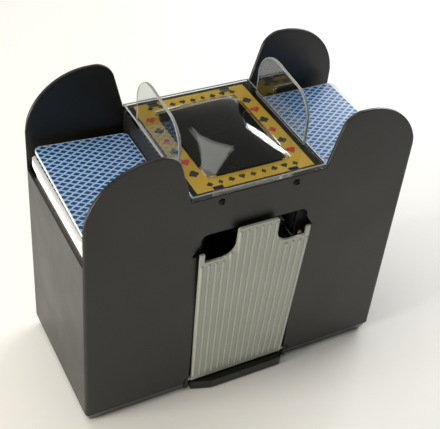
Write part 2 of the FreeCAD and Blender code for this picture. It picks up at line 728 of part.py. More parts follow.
# ---------------------------------------------------------------- front door
def front_door():
    """The ribbed flap: modelled upright on its hinge axis, then leant outwards."""
    half, flare = DOOR_HALF, f"{DOOR_HALF} + door_flare"
    tab = f"{flare} - door_tab_width"
    right = [
        (half, "0"),
        (flare, DOOR_SHOULDER),
        (flare, f"{DOOR_SHOULDER} + door_tab"),
        (tab, f"{DOOR_SHOULDER} + door_tab"),
        (tab, DOOR_SHOULDER),
        ("door_tongue_half", DOOR_SHOULDER),
        ("door_tongue_half", DOOR_TONGUE),
    ]
    corners = right + [(f"-({x})", z) for x, z in reversed(right)]
    rounds = [
        (5, "door_scallop"),
        (8, "door_scallop"),
        (6, "door_tongue_corner"),
        (7, "door_tongue_corner"),
    ]
    plate = place(outline("XZ", corners, "door_plate", rounds), y="door_plate - hinge_barrel")
    barrel = rod("hinge_barrel", f"2 * {DOOR_HALF}", (f"-{DOOR_HALF}", "0", "0"), "x")
    pin_half = f"({DOOR_HALF} + hinge_stub - hinge_pin_short)"
    pins = rod("hinge_pin", f"2 * {pin_half}", (f"-{pin_half}", "0", "0"), "x")
    beads = []
    reach = BEAD_COUNT / 2 - 0.5
    for number in range(BEAD_COUNT):
        offset = number - reach
        share = offset / reach
        foot = f"{share} * ({DOOR_HALF} - bead_margin)"
        slope = f"atan({share} * door_flare / {DOOR_SHOULDER})"
        if abs(offset) < TALL_BEADS / 2:
            top = f"{DOOR_TONGUE} - bead_end"
        elif abs(offset) < TALL_BEADS / 2 + 1:
            top = f"{DOOR_SHOULDER} + bead_end / 2"
        else:
            top = f"{DOOR_SHOULDER} - bead_end"
        depth = "bead_radius - bead_proud - hinge_barrel"
        stem = rod("bead_radius", f"{top} - bead_start", (f"{foot}", depth, "bead_start"))
        stem.Placement = FreeCAD.Placement(Vector(), FreeCAD.Rotation(Vector(0, 1, 0), 1))
        stem.setExpression("Placement.Rotation.Angle", bound(slope))
        top_x = f"({foot} + ({top} - bead_start) * sin({slope}))"
        top_z = f"(bead_start + ({top} - bead_start) * cos({slope}))"
        ends = [(foot, depth, "bead_start"), (top_x, depth, top_z)]
        beads += [stem] + [ball("bead_radius", end) for end in ends]
    door = join([plate, barrel, pins] + beads)
    door.Placement = FreeCAD.Placement(Vector(), FreeCAD.Rotation(Vector(1, 0, 0), 1))
    door.setExpression("Placement.Rotation.Angle", bound("door_lean"))
    return place(door, y=HINGE_Y, z="hinge_height")


# ---------------------------------------------------------------- top cover and label
def dome(inset):
    """A pillow: what two crossed arches share above the middle of the cover."""
    x_half = f"({WINDOW_HALF} + dome_lap - {inset})"
    y_half = f"(({WINDOW_FRONT} + {WINDOW_BACK}) / 2 + dome_lap - {inset})"
    y_middle = f"(({WINDOW_BACK} - {WINDOW_FRONT}) / 2)"
    rise = f"(dome_rise - {inset})"
    peak = f"({COVER_TOP} + {rise})"
    x_radius = f"(({x_half} ^ 2 + {rise} ^ 2) / (2 * {rise}))"
    y_radius = f"(({y_half} ^ 2 + {rise} ^ 2) / (2 * {rise}))"
    footprint = block((f"2 * {x_half}", f"2 * {y_half}", "4 * dome_rise"), ("0", y_middle),
                      f"{CENTRE_TOP} - 2 * dome_rise" if inset != "0" else CENTRE_TOP)
    along = rod(x_radius, f"4 * {y_half}", ("0", f"-2 * {y_half}", f"{peak} - {x_radius}"), "y")
    across = rod(y_radius, f"4 * {x_half}", (f"-2 * {x_half}", y_middle, f"{peak} - {y_radius}"), "x")
    return overlap([footprint, along, across])


def fin(sign):
    corners = [
        ("0", "0"),
        ("0", "fin_front_top"),
        ("fin_front + fin_back", "fin_back_top"),
        ("fin_front + fin_back", "0"),
    ]
    rounds = [(1, "fin_front_radius"), (2, "fin_back_radius")]
    body = outline("XZ", corners, "fin_thickness", rounds)
    body.Placement = FreeCAD.Placement(Vector(), FreeCAD.Rotation(Vector(0, 0, 1), 90))
    x = f"{sign} * ({CENTRE_HALF} - fin_inset) - fin_thickness / 2"
    return place(body, x, "-fin_front", f"{CENTRE_TOP} + cover_plate / 2")


def top_cover():
    y_half = f"({DEPTH_HALF} - cover_play)"
    plate = block((f"2 * {CENTRE_HALF}", f"2 * {y_half}", "cover_plate"), ("0", "0"), CENTRE_TOP)
    rim_room = [f"2 * {half} - 2 * cover_rim_width" for half in (CENTRE_HALF, y_half)]
    rim = cut(
        block((f"2 * {CENTRE_HALF}", f"2 * {y_half}", "cover_rim"), ("0", "0"), COVER_TOP),
        [block((*rim_room, "3 * cover_rim"), ("0", "0"), f"{COVER_TOP} - cover_rim")],
    )
    solids = [plate, rim, dome("0")] + [fin(sign) for _, sign in SIDES]
    holes = []
    for _, sign in SIDES:
        for end in (-1, 1):
            lug_y = f"{end} * ({DEPTH_INSIDE} - cover_play - cover_lug_depth / 2)"
            solids.append(block(("cover_lug_width", "cover_lug_depth", "cover_lug_drop + cover_lug_sink"),
                                (f"{sign} * cover_screw_x", lug_y), f"{CENTRE_TOP} - cover_lug_drop"))
            start = f"{end} * {DEPTH_INSIDE} - cover_screw_length"
            holes.append(rod("cover_screw_radius", "2 * cover_screw_length",
                             (f"{sign} * cover_screw_x", start, COVER_SCREW_Z), "y"))
    return cut(cut(join(solids), [dome("dome_wall")]), holes)


def cover_screws():
    screws = []
    for _, sign in SIDES:
        for end in (-1, 1):
            x = f"{sign} * cover_screw_x"
            length = "cover_screw_length + wall"
            shank_y = f"{end} * ({DEPTH_HALF} - ({length}) / 2) - ({length}) / 2"
            head_y = f"{end} * ({DEPTH_HALF} + cover_screw_head_height / 2) - cover_screw_head_height / 2"
            shank = rod("cover_screw_radius", length, (x, shank_y, COVER_SCREW_Z), "y")
            head = rod("cover_screw_head", "cover_screw_head_height", (x, head_y, COVER_SCREW_Z), "y")
            screws.append(join([shank, head]))
    return group(screws)


def label_card():
    """The printed card under the clear cover, with a window for the dome."""
    thin = "label_thickness"
    base = f"{CENTRE_TOP} - label_thickness"
    sheet_y = f"({LABEL_BACK} - {LABEL_FRONT}) / 2"
    window_y = f"({WINDOW_BACK} - {WINDOW_FRONT}) / 2"
    card = block((f"2 * {LABEL_HALF}", f"{LABEL_FRONT} + {LABEL_BACK}", thin), ("0", sheet_y), base)
    window = block((f"2 * {WINDOW_HALF}", f"{WINDOW_FRONT} + {WINDOW_BACK}", f"3 * {thin}"),
                   ("0", window_y), f"{base} - {thin}")
    notch = [f"{size} + 2 * label_lug_play" for size in ("cover_lug_width", "2 * cover_lug_depth")]
    lugs = [
        block((*notch, f"3 * {thin}"), (f"{sign} * cover_screw_x", f"{end} * {DEPTH_INSIDE}"),
              f"{base} - {thin}")
        for _, sign in SIDES for end in (-1, 1)
    ]
    return cut(card, [window] + lugs)


# ---------------------------------------------------------------- inside structure
def shaft_places(sign):
    """The x and z of each shaft on one side, with the hole that its plates need."""
    return [
        (f"{sign} * {EXIT_X}", EXIT_Z),
        (f"{sign} * {EXIT_X}", PINCH_Z),
        (f"{sign} * {FEED_X}", FEED_Z),
    ]


def bearing_plate(signs, rear):
    """An upright plate that carries the shafts and guides the cards' ends."""
    end = 1 if rear else -1
    y = f"{end} * ({PLATE_INSIDE} + plate / 2)"
    outer = TRAY_OUTER
    inner = f"({CHAMBER_HALF} + chamber_wall + plate_wall_gap)"
    tall = f"{PLATE_TOP} - {PLATE_BOTTOM}"
    drill = "6 * plate"
    drill_y = f"{y} - {drill} / 2"
    if rear:
        solids = [block((f"2 * {outer}", "plate", tall), ("0", y), PLATE_BOTTOM)]
        stem = (f"2 * {inner}", "plate", f"{PLATE_BOTTOM} - {PAN_TOP} + plate")
        solids.append(block(stem, ("0", y), PAN_TOP))
    else:
        solids = [block((f"{outer} - {inner}", "plate", tall), (f"{signs[0]} * ({outer} + {inner}) / 2", y),
                        PLATE_BOTTOM)]
    holes = []
    for sign in signs:
        ledge_y = f"{end} * ({PLATE_INSIDE} - ledge_depth / 2)"
        ledge_inner = f"({CENTRE_HALF} + ledge_start)"
        solids.append(block((f"{outer} - {ledge_inner}", "ledge_depth", "ledge_height"),
                            (f"{sign} * ({outer} + {ledge_inner}) / 2", ledge_y),
                            "tray_top - tray_floor - ledge_height"))
        for x, z in shaft_places(sign):
            holes.append(rod("bush_radius", drill, (x, drill_y, z), "y"))
        if rear:
            motor_x = f"{sign} * {IDLER_X}"
            holes.append(rod("motor_boss_radius + motor_boss_play", drill, (motor_x, drill_y, MOTOR_Z), "y"))
            holes.append(rod("shaft_radius", drill, (motor_x, drill_y, IDLER_Z), "y"))
            for side in (-1, 1):
                screw_x = f"{motor_x} + {side} * motor_screw_pitch / 2"
                holes.append(rod("motor_screw_radius", drill, (screw_x, drill_y, MOTOR_Z), "y"))
    if rear:
        holes.append(rod("plunger_radius + plunger_room", drill, ("button_x", drill_y, BUTTON_Z), "y"))
    return cut(join(solids), holes)


def bushes():
    """A flanged bush in each plate for every shaft end."""
    made = []
    for _, sign in SIDES:
        for x, z in shaft_places(sign):
            for end in (-1, 1):
                length = "plate + bush_flange"
                middle = f"{end} * ({PLATE_INSIDE} + (plate - bush_flange) / 2)"
                body = rod("bush_radius", length, (x, f"{middle} - ({length}) / 2", z), "y")
                flange_y = f"{end} * ({PLATE_INSIDE} - bush_flange / 2) - bush_flange / 2"
                flange = rod("bush_flange_radius", "bush_flange", (x, flange_y, z), "y")
                bore = rod("shaft_radius + running_play", "6 * plate", (x, f"{middle} - 3 * plate", z), "y")
                made.append(cut(join([body, flange]), [bore]))
    return group(made)


def chamber_wall(sign):
    x = f"{sign} * ({CHAMBER_HALF} + chamber_wall / 2)"
    top = f"{EXIT_Z} + exit_radius - chamber_wall_drop"
    size = ("chamber_wall", f"2 * ({PLATE_INSIDE} - tray_play)", f"{top} - {PAN_TOP}")
    return block(size, (x, "0"), PAN_TOP)


def upper_guide(sign):
    """The chamber's wall above the slit, hung on two arms from the middle's side wall."""
    x = f"{sign} * ({CHAMBER_HALF} + chamber_wall / 2)"
    y_size = f"2 * ({PLATE_INSIDE} - tray_play)"
    top = f"({CENTRE_TOP} - guide_drop)"
    bottom = f"({PINCH_Z} + pinch_radius + guide_gap)"
    solids = [block(("chamber_wall", y_size, f"{top} - {bottom}"), (x, "0"), bottom)]
    inner, outer = f"({CHAMBER_HALF} + chamber_wall)", f"({CENTRE_HALF} - wall)"
    for end in (-1, 1):
        arm = (f"{outer} - {inner} + guide_sink", "guide_arm_width", "guide_arm_height")
        middle = (f"{sign} * ({outer} + {inner} - guide_sink) / 2", f"{end} * card_length / 3")
        solids.append(block(arm, middle, f"{top} - guide_arm_drop + guide_drop"))
    return join(solids)


def receiver_floor():
    """The chamber's floor on two runners, with a finger notch at the front."""
    front = f"({HINGE_Y} + hinge_barrel + receiver_gap)"
    back = f"({PLATE_INSIDE} - tray_play)"
    size = (f"2 * ({CHAMBER_HALF} - tray_play)", f"{back} - {front}", "receiver_floor")
    solids = [block(size, ("0", f"({back} + {front}) / 2"), "receiver_height")]
    for _, sign in SIDES:
        runner = ("runner_width", f"{back} - {front}", f"receiver_height - {PAN_TOP} + receiver_floor / 4")
        runner_x = f"{sign} * ({CHAMBER_HALF} - runner_inset)"
        solids.append(block(runner, (runner_x, f"({back} + {front}) / 2"), PAN_TOP))
    notch = rod("door_scallop", "4 * receiver_floor", ("0", front, "receiver_height - receiver_floor"))
    return cut(join(solids), [notch])


def hopper_tray(sign):
    size = (f"{TRAY_OUTER} - {TRAY_INNER}", f"2 * ({PLATE_INSIDE} - tray_play)", "tray_floor")
    floor = block(size, (f"{sign} * {TRAY_MIDDLE}", "0"), "tray_top - tray_floor")
    slots = []
    for end in (-1, 1):
        drop = f"({FEED_Z} - (tray_top - tray_floor))"
        length = f"2 * (sqrt(feed_radius ^ 2 - {drop} ^ 2) + slot_play)"
        slots.append(block((length, "feed_roller_width + 2 * slot_play", "4 * tray_floor"),
                           (f"{sign} * {FEED_X}", f"{end} * feed_roller_y"), "tray_top - 2 * tray_floor"))
    return cut(floor, slots)


def gate(sign):
    """A thin strip over the slit that lets one card through at a time."""
    x = f"{sign} * ({CENTRE_HALF} - wall - gate_thickness / 2)"
    return block(("gate_thickness", "2 * gate_half", "gate_height"), (x, "0"), "tray_top + gate_gap")


# ---------------------------------------------------------------- batteries
def battery_box(sign):
    """An open-bottomed box that holds two cells over the pan's window."""
    x = f"{sign} * {BATTERY_X}"
    outer = (f"2 * ({BATTERY_X_HALF} + battery_wall)", f"2 * ({BATTERY_Y_HALF} + battery_wall)",
             f"{BATTERY_TOP} + battery_wall - {PAN_TOP}")
    inner = (f"2 * {BATTERY_X_HALF}", f"2 * {BATTERY_Y_HALF}", f"{BATTERY_TOP} - {PAN_TOP} + past")
    return cut(block(outer, (x, "0"), PAN_TOP), [block(inner, (x, "0"), f"{PAN_TOP} - past")])


def battery_cells():
    cells = []
    for _, sign in SIDES:
        for row, nub_end in ((-1, 1), (1, -1)):
            x = f"{sign} * {BATTERY_X} + {row} * {CELL_PITCH} / 2"
            z = f"{PAN_TOP} + battery_lift + cell_radius"
            middle = f"{-nub_end} * cell_nub_height / 2"
            can = rod("cell_radius", "cell_length - cell_nub_height",
                      (x, f"{middle} - (cell_length - cell_nub_height) / 2", z), "y")
            nub = rod("cell_nub", "2 * cell_nub_height",
                      (x, f"{nub_end} * (cell_length / 2 - cell_nub_height) - cell_nub_height", z), "y")
            cells.append(join([can, nub]))
    return group(cells)


def battery_contacts():
    """A plate and a cone spring at one end of each cell, and a plate at the other."""
    made = []
    for _, sign in SIDES:
        for row, nub_end in ((-1, 1), (1, -1)):
            x = f"{sign} * {BATTERY_X} + {row} * {CELL_PITCH} / 2"
            z = f"{PAN_TOP} + battery_lift + cell_radius"
            for end in (-1, 1):
                plate_y = f"{end} * ({BATTERY_Y_HALF} - contact_thickness / 2)"
                plate = block(("contact_size", "contact_thickness", "contact_size"), (x, plate_y),
                              f"{z} - contact_size / 2")
                reach = "battery_end_play - contact_thickness"
                radius = "spring_tip" if end == nub_end else "spring_radius"
                spring_y = f"{end} * (cell_length / 2 + ({reach}) / 2) - ({reach}) / 2"
                made.append(join([plate, rod(radius, reach, (x, spring_y, z), "y")]))
    return group(made)


def battery_hatch(sign):
    """The battery cover in the underside, which turns on two pins along its outer edge."""
    hinge_x = f"{sign} * ({BATTERY_X} + {HATCH_HINGE})"
    length = f"2 * ({HATCH_Y_HALF} - hatch_gap)"
    inner_edge = f"({BATTERY_X} - {HATCH_X_HALF} + hatch_gap)"
    size = (f"{BATTERY_X} + {HATCH_HINGE} - {inner_edge}", length, "hatch_thickness")
    middle_x = f"{sign} * ({BATTERY_X} + {HATCH_HINGE} + {inner_edge}) / 2"
    underside = f"{HATCH_Z} - hatch_thickness / 2"
    plate = block(size, (middle_x, "0"), underside)
    start = (hinge_x, f"hatch_gap - {HATCH_Y_HALF}", HATCH_Z)
    barrel = rod("hatch_barrel", length, start, "y")
    bore_start = (hinge_x, f"-{HATCH_Y_HALF} - past", HATCH_Z)
    bore = rod("hatch_pin + hatch_pin_play", f"2 * {HATCH_Y_HALF} + 2 * past", bore_start, "y")
    grip_start = (f"{sign} * ({inner_edge} + hatch_grip_inset)", "0", f"{underside} - past")
    grip = rod("hatch_grip", "hatch_grip_depth + past", grip_start)
    return cut(join([plate, barrel]), [bore, grip])


# ---------------------------------------------------------------- drive
def motor(sign):
    x = f"{sign} * {IDLER_X}"
    front = f"({PLATE_INSIDE} - motor_length)"
    can = overlap([
        rod("motor_radius", "motor_length", (x, front, MOTOR_Z), "y"),
        block(("3 * motor_radius", "2 * motor_length", "motor_flat"), (x, front),
              f"{MOTOR_Z} - motor_flat / 2"),
    ])
    boss = rod("motor_boss_radius", "2 * plate", (x, f"{PLATE_INSIDE} - plate", MOTOR_Z), "y")
    bore = rod("motor_shaft + motor_bore_play", "2 * motor_length", (x, front, MOTOR_Z), "y")
    holes = [bore]
    for side in (-1, 1):
        screw_x = f"{x} + {side} * motor_screw_pitch / 2"
        hole = (screw_x, f"{PLATE_INSIDE} - motor_screw_depth", MOTOR_Z)
        holes.append(rod("motor_screw_radius", "motor_screw_depth + past", hole, "y"))
    return cut(join([can, boss]), holes)


def motor_screws():
    screws = []
    for _, sign in SIDES:
        for side in (-1, 1):
            x = f"{sign} * {IDLER_X} + {side} * motor_screw_pitch / 2"
            depth = "(motor_screw_depth - motor_screw_short)"
            shank_end = (x, f"{PLATE_INSIDE} - {depth}", MOTOR_Z)
            shank = rod("motor_screw_radius", f"plate + {depth}", shank_end, "y")
            head = rod("motor_screw_head", "motor_screw_head_height", (x, PLATE_OUTSIDE, MOTOR_Z), "y")
            screws.append(join([shank, head]))
    return group(screws)


def rotor(sign):
    start = (f"{sign} * {IDLER_X}", f"{PLATE_INSIDE} - motor_length + rotor_inset", MOTOR_Z)
    return rod("motor_shaft", f"{SHAFT_BACK} - ({start[1]})", start, "y")


def idler_pins():
    pins = []
    for _, sign in SIDES:
        start = (f"{sign} * {IDLER_X}", f"{PLATE_INSIDE} - idler_pin_stub", IDLER_Z)
        length = f"{SHAFT_BACK} + idler_pin_end - {PLATE_INSIDE} + idler_pin_stub"
        pins.append(rod("shaft_radius", length, start, "y"))
    return group(pins)


def shaft(sign, x, z, back):
    """A plain steel shaft from just past the front plate to a given place at the back."""
    return rod("shaft_radius", f"{back} + {SHAFT_FRONT}", (f"{sign} * {x}", f"-{SHAFT_FRONT}", z), "y")


def sleeves(sign, x, z, outer, inner, width, spacing):
    """Two sleeves on one shaft, the same distance each side of the middle."""
    made = []
    for end in (-1, 1):
        start = (f"{sign} * {x}", f"{end} * {spacing} - {width} / 2", z)
        made.append(cut(rod(outer, width, start, "y"), [rod(inner, width, start, "y")]))
    return group(made)


def pinch_roller(sign):
    """The free-turning shaft above the exit rollers with its two sleeves, in one moulding."""
    pieces = [shaft(sign, EXIT_X, PINCH_Z, SHAFT_FRONT)]
    for end in (-1, 1):
        start = (f"{sign} * {EXIT_X}", f"{end} * exit_roller_y - exit_roller_width / 2", PINCH_Z)
        pieces.append(rod("pinch_radius", "exit_roller_width", start, "y"))
    return join(pieces)


def gear_train(side, sign):
    """The four gears of one side, each turned so that its teeth sit in its neighbour's gaps."""
    feed = (sign * measure(FEED_X), measure(FEED_Z))
    idler = (sign * measure(IDLER_X), measure(IDLER_Z))
    exit_axis = (sign * measure(EXIT_X), measure(EXIT_Z))
    pinion = (sign * measure(IDLER_X), measure(MOTOR_Z))
    teeth = {name: int(measure(f"{name}_teeth")) for name in ("feed", "idler", "exit", "pinion")}
    feed_phase = 0.0
    idler_phase = meshing_phase(feed_phase, teeth["feed"], feed, teeth["idler"], idler)
    exit_phase = meshing_phase(idler_phase, teeth["idler"], idler, teeth["exit"], exit_axis)
    pinion_phase = meshing_phase(idler_phase, teeth["idler"], idler, teeth["pinion"], pinion)
    bore = measure("shaft_radius")
    free_bore = bore + measure("running_play")
    add_node(f"{side}_feed_gear", gear(teeth["feed"], feed_phase, bore, *feed))
    add_node(f"{side}_idler_gear", gear(teeth["idler"], idler_phase, free_bore, *idler))
    add_node(f"{side}_exit_gear", gear(teeth["exit"], exit_phase, bore, *exit_axis))
    add_node(f"{side}_motor_pinion", gear(teeth["pinion"], pinion_phase, measure("motor_shaft"), *pinion))


# ---------------------------------------------------------------- button and switch
def push_button():
    flange_back = f"({DEPTH_INSIDE} - button_wall_gap)"
    flange = rod("button_radius + button_flange", "button_flange_thickness",
                 ("button_x", f"{flange_back} - button_flange_thickness", BUTTON_Z), "y")
    face = f"({DEPTH_HALF} + button_proud)"
    length = f"{face} - {flange_back} + button_sink"
    corners = [("0", "0"), ("0", length), ("button_radius", length), ("button_radius", "0")]
    body = doc.addObject("PartDesign::Body", "body")
    turned = body.newObject("PartDesign::Revolution", "turned")
    turned.Profile = polygon(body, "XY", corners)[0]
    turned.ReferenceAxis = (turned.Profile[0], ["V_Axis"])
    turned.Angle = 360
    doc.recompute()
    far = max(edge.BoundBox.YMin for edge in turned.Shape.Edges)
    rounded(body, turned, lambda edge: edge.BoundBox.YMin > far - 1e-4, "button_round")
    place(body, "button_x", f"{flange_back} - button_sink", BUTTON_Z)
    return join([flange, body])


def switch_plunger():
    back = f"({DEPTH_INSIDE} - button_wall_gap - button_flange_thickness)"
    return rod("plunger_radius", "plunger_length", ("button_x", f"{back} - plunger_length", BUTTON_Z), "y")


def switch_body():
    centre_y = f"{SWITCH_FACE} - switch_depth / 2"
    box = block(("switch_size", "switch_depth", "switch_size"), ("button_x", centre_y),
                f"{BUTTON_Z} - switch_size / 2")
    bore_start = ("button_x", f"{SWITCH_FACE} - switch_depth + switch_back", BUTTON_Z)
    bore = rod("plunger_radius + plunger_play", "switch_depth", bore_start, "y")
    return cut(box, [bore])


# ---------------------------------------------------------------- cards
def card_stack(sign):
    """A loaded deck or two, standing on the feed tyres."""
    body = rounded_column("(card_width / 2)", "(card_length / 2)", "card_corner", "0", "stack_height")
    return place(body, f"{sign} * {STACK_X}", "0", STACK_BASE)


# ---------------------------------------------------------------- assembly
add_node("outer_case", outer_case())
add_node("base_pan", base_pan())
add_node("rubber_feet", rubber_feet())
add_node("base_screws", base_screws())
add_node("top_cover", top_cover())
add_node("label_card", label_card())
add_node("cover_screws", cover_screws())
add_node("front_door", front_door())
add_node("receiver_floor", receiver_floor())
add_node("rear_bearing_plate", bearing_plate((-1, 1), True))
add_node("shaft_bushes", bushes())
add_node("idler_pins", idler_pins())
add_node("motor_screws", motor_screws())
add_node("battery_cells", battery_cells())
add_node("battery_contacts", battery_contacts())
add_node("push_button", push_button())
add_node("switch_plunger", switch_plunger())
add_node("switch_body", switch_body())
for side, sign in SIDES:
    add_node(f"{side}_front_plate", bearing_plate((sign,), False))
    add_node(f"{side}_chamber_wall", chamber_wall(sign))
    add_node(f"{side}_upper_guide", upper_guide(sign))
    add_node(f"{side}_hopper_tray", hopper_tray(sign))
    add_node(f"{side}_gate", gate(sign))
    add_node(f"{side}_battery_box", battery_box(sign))
    add_node(f"{side}_battery_hatch", battery_hatch(sign))
    add_node(f"{side}_motor", motor(sign))
    add_node(f"{side}_rotor_shaft", rotor(sign))
    add_node(f"{side}_feed_shaft", shaft(sign, FEED_X, FEED_Z, SHAFT_BACK))
    add_node(f"{side}_feed_cores", sleeves(sign, FEED_X, FEED_Z, "feed_core_radius", "shaft_radius",
                                           "feed_roller_width", "feed_roller_y"))
    add_node(f"{side}_feed_tyres", sleeves(sign, FEED_X, FEED_Z, "feed_radius", "feed_core_radius",
                                           "feed_roller_width", "feed_roller_y"))
    add_node(f"{side}_exit_shaft", shaft(sign, EXIT_X, EXIT_Z, SHAFT_BACK))
    add_node(f"{side}_exit_rollers", sleeves(sign, EXIT_X, EXIT_Z, "exit_radius", "shaft_radius",
                                             "exit_roller_width", "exit_roller_y"))
    add_node(f"{side}_pinch_roller", pinch_roller(sign))
    gear_train(side, sign)
    add_node(f"{side}_card_stack", card_stack(sign))

doc.recompute()
for thing in doc.Objects:
    broken = [word for word in thing.State if word in ("Invalid", "Error")]
    if broken:
        raise RuntimeError(f"{thing.Name} ({thing.Label}) is {broken}")
for name, thing in nodes.items():
    if thing.Shape.isNull() or not thing.Shape.isValid():
        raise RuntimeError(f"{name} has no valid shape")

os.makedirs("parts", exist_ok=True)
for name, thing in nodes.items():
    thing.Shape.exportStep(f"parts/{name}.step")
    box = thing.Shape.BoundBox
    print(f"{name}: {len(thing.Shape.Solids)} solid(s), x {box.XMin:.2f} to {box.XMax:.2f}, "
          f"y {box.YMin:.2f} to {box.YMax:.2f}, z {box.ZMin:.2f} to {box.ZMax:.2f}")
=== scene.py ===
# %% [markdown]
# # An automatic card shuffler
# Two decks stand in hoppers at the sides. Rubber rollers under them push the cards into the
# chamber in the middle, and the shuffled deck is taken out through the ribbed door in front.
# The engineering model comes first: it gives every piece its place and its size, and tells
# which body it moves with. This lesson builds the looks around it.

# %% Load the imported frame
import json
import math

import bmesh
import bpy
import numpy as np
from mathutils import Matrix, Vector


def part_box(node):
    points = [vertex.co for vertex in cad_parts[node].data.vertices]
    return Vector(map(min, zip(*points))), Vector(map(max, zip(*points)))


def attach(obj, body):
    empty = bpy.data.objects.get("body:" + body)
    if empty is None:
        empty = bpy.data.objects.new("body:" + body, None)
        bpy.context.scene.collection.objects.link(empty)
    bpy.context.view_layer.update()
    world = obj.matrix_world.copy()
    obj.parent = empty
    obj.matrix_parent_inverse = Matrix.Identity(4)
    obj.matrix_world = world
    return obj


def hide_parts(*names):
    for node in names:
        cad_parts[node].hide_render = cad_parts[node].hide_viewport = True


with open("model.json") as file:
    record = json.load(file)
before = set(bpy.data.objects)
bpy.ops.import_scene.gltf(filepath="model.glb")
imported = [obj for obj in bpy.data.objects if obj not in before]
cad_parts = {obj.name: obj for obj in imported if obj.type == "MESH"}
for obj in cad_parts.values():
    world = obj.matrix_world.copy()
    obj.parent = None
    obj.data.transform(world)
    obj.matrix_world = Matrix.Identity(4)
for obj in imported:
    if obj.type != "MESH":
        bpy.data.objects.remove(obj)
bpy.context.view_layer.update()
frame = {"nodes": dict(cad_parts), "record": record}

scene = bpy.context.scene
nodes = frame["nodes"]
MM = 0.001


# %% [markdown]
# ## Measuring
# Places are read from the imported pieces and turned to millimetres, which are easier to think
# in for a hand-sized object. Two corners of a box are enough for most of what follows.

# %% Corners of a piece in millimetres
def corners_mm(node):
    """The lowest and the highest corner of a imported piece, in millimetres."""
    low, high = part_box(node)
    return np.array(low) / MM, np.array(high) / MM


case_low, case_high = corners_mm("outer_case")
label_high = corners_mm("label_card")[1]
print("case", np.round(case_high - case_low, 1), "mm")

# %% [markdown]
# ## Camera
# The camera stands in front, to the left and well above, and is rolled a little, as a hand
# holds it. Three angles turn it: the heading about the upright, the height above the horizon
# and the roll about its own line of sight. A long lens keeps the sides nearly parallel.

# %% Place the camera
CAMERA_PLACE = (-0.2492, -0.4258, 0.5249)
CAMERA_HEADING = math.radians(-30.79)
CAMERA_HEIGHT = math.radians(40.05)
CAMERA_ROLL = math.radians(6.02)
LENS_MM = 77.26

lens = bpy.data.cameras.new("camera")
lens.lens = LENS_MM
lens.clip_start = 0.01
camera = bpy.data.objects.new("camera", lens)
scene.collection.objects.link(camera)
camera.matrix_world = (
    Matrix.Translation(CAMERA_PLACE)
    @ Matrix.Rotation(CAMERA_HEADING, 4, "Z")
    @ Matrix.Rotation(math.pi / 2 - CAMERA_HEIGHT, 4, "X")
    @ Matrix.Rotation(CAMERA_ROLL, 4, "Z")
)
scene.camera = camera
scene.view_settings.view_transform = "Standard"
print("camera at", CAMERA_PLACE)


# %% [markdown]
# ## Colour and nodes
# Colours are written as the hex codes that a paint program shows. The renderer adds light in
# linear units, so one function turns the codes to linear. A material is a small graph: one
# helper adds a node, sets its sockets and draws its links, and that is enough for all of them.

# %% From hex code to linear colour
def linear(code):
    """An sRGB hex code as linear red, green, blue, alpha: c / 12.92 near black, a power of 2.4 above."""
    parts = np.array([int(code[i:i + 2], 16) for i in (1, 3, 5)]) / 255
    parts = np.where(parts <= 0.04045, parts / 12.92, ((parts + 0.055) / 1.055) ** 2.4)
    return (*parts.tolist(), 1.0)


def add_node(tree, kind, sockets=None, **settings):
    """A new node. sockets gives a number, a colour or another node's output for each input,
    which is called by its name, or by its place where several share a name."""
    made = tree.nodes.new(kind)
    for name, value in settings.items():
        setattr(made, name, value)
    for name, value in (sockets or {}).items():
        if isinstance(value, bpy.types.NodeSocket):
            tree.links.new(value, made.inputs[name])
        else:
            made.inputs[name].default_value = value
    return made


def start_material(name, code, roughness, **sockets):
    """A material with its one-colour values set on the shader, and the place of each point."""
    material = bpy.data.materials.new(name)
    material.use_nodes = True
    tree = material.node_tree
    shader = tree.nodes["Principled BSDF"]
    shader.inputs["Base Color"].default_value = linear(code)
    shader.inputs["Roughness"].default_value = roughness
    for socket, value in sockets.items():
        shader.inputs[socket.replace("_", " ")].default_value = value
    material.diffuse_color = linear(code)
    return material, tree, shader, add_node(tree, "ShaderNodeTexCoord").outputs["Object"]


def per_metre(size_mm):
    """The scale of a pattern whose spots are this many millimetres across."""
    return 1000 / size_mm


print("linear mid grey", round(linear("#808080")[0], 3))


# %% [markdown]
# ## A moulded skin
# Plastic copies the steel of its mould. A spark-eroded mould leaves fine pits, a polished one
# leaves slow waves, and handling leaves faint patches that shine a little more. The same three
# marks, at other sizes, also serve rubber, rolled steel and coated card.

# %% Pits, patches and tone
PIT_DETAIL = 3.0
PATCH_DETAIL = 4.0
PATCH_RANGE = (0.3, 0.7)        # the noise seldom leaves this range


def skin(tree, shader, place, pit_mm, depth_mm, patch_mm, roughness, tones=None):
    """Adds a skin: pits in relief, and patches that shift the roughness and the colour.

    roughness is the (least, most) over the patches, and tones the two hex codes between
    which the colour drifts.
    """
    pits = add_node(tree, "ShaderNodeTexNoise", {
        "Vector": place, "Scale": per_metre(pit_mm), "Detail": PIT_DETAIL})
    relief = add_node(tree, "ShaderNodeBump", {
        "Height": pits.outputs["Fac"], "Distance": depth_mm * MM})
    tree.links.new(relief.outputs["Normal"], shader.inputs["Normal"])
    patches = add_node(tree, "ShaderNodeTexNoise", {
        "Vector": place, "Scale": per_metre(patch_mm), "Detail": PATCH_DETAIL})
    spread = add_node(tree, "ShaderNodeMapRange", {
        "Value": patches.outputs["Fac"],
        "From Min": PATCH_RANGE[0], "From Max": PATCH_RANGE[1],
        "To Min": roughness[0], "To Max": roughness[1],
    })
    tree.links.new(spread.outputs["Result"], shader.inputs["Roughness"])
    if tones:
        drift = add_node(tree, "ShaderNodeMix", {
            0: patches.outputs["Fac"], 6: linear(tones[0]), 7: linear(tones[1])}, data_type="RGBA")
        tree.links.new(drift.outputs[2], shader.inputs["Base Color"])


finishes = {}


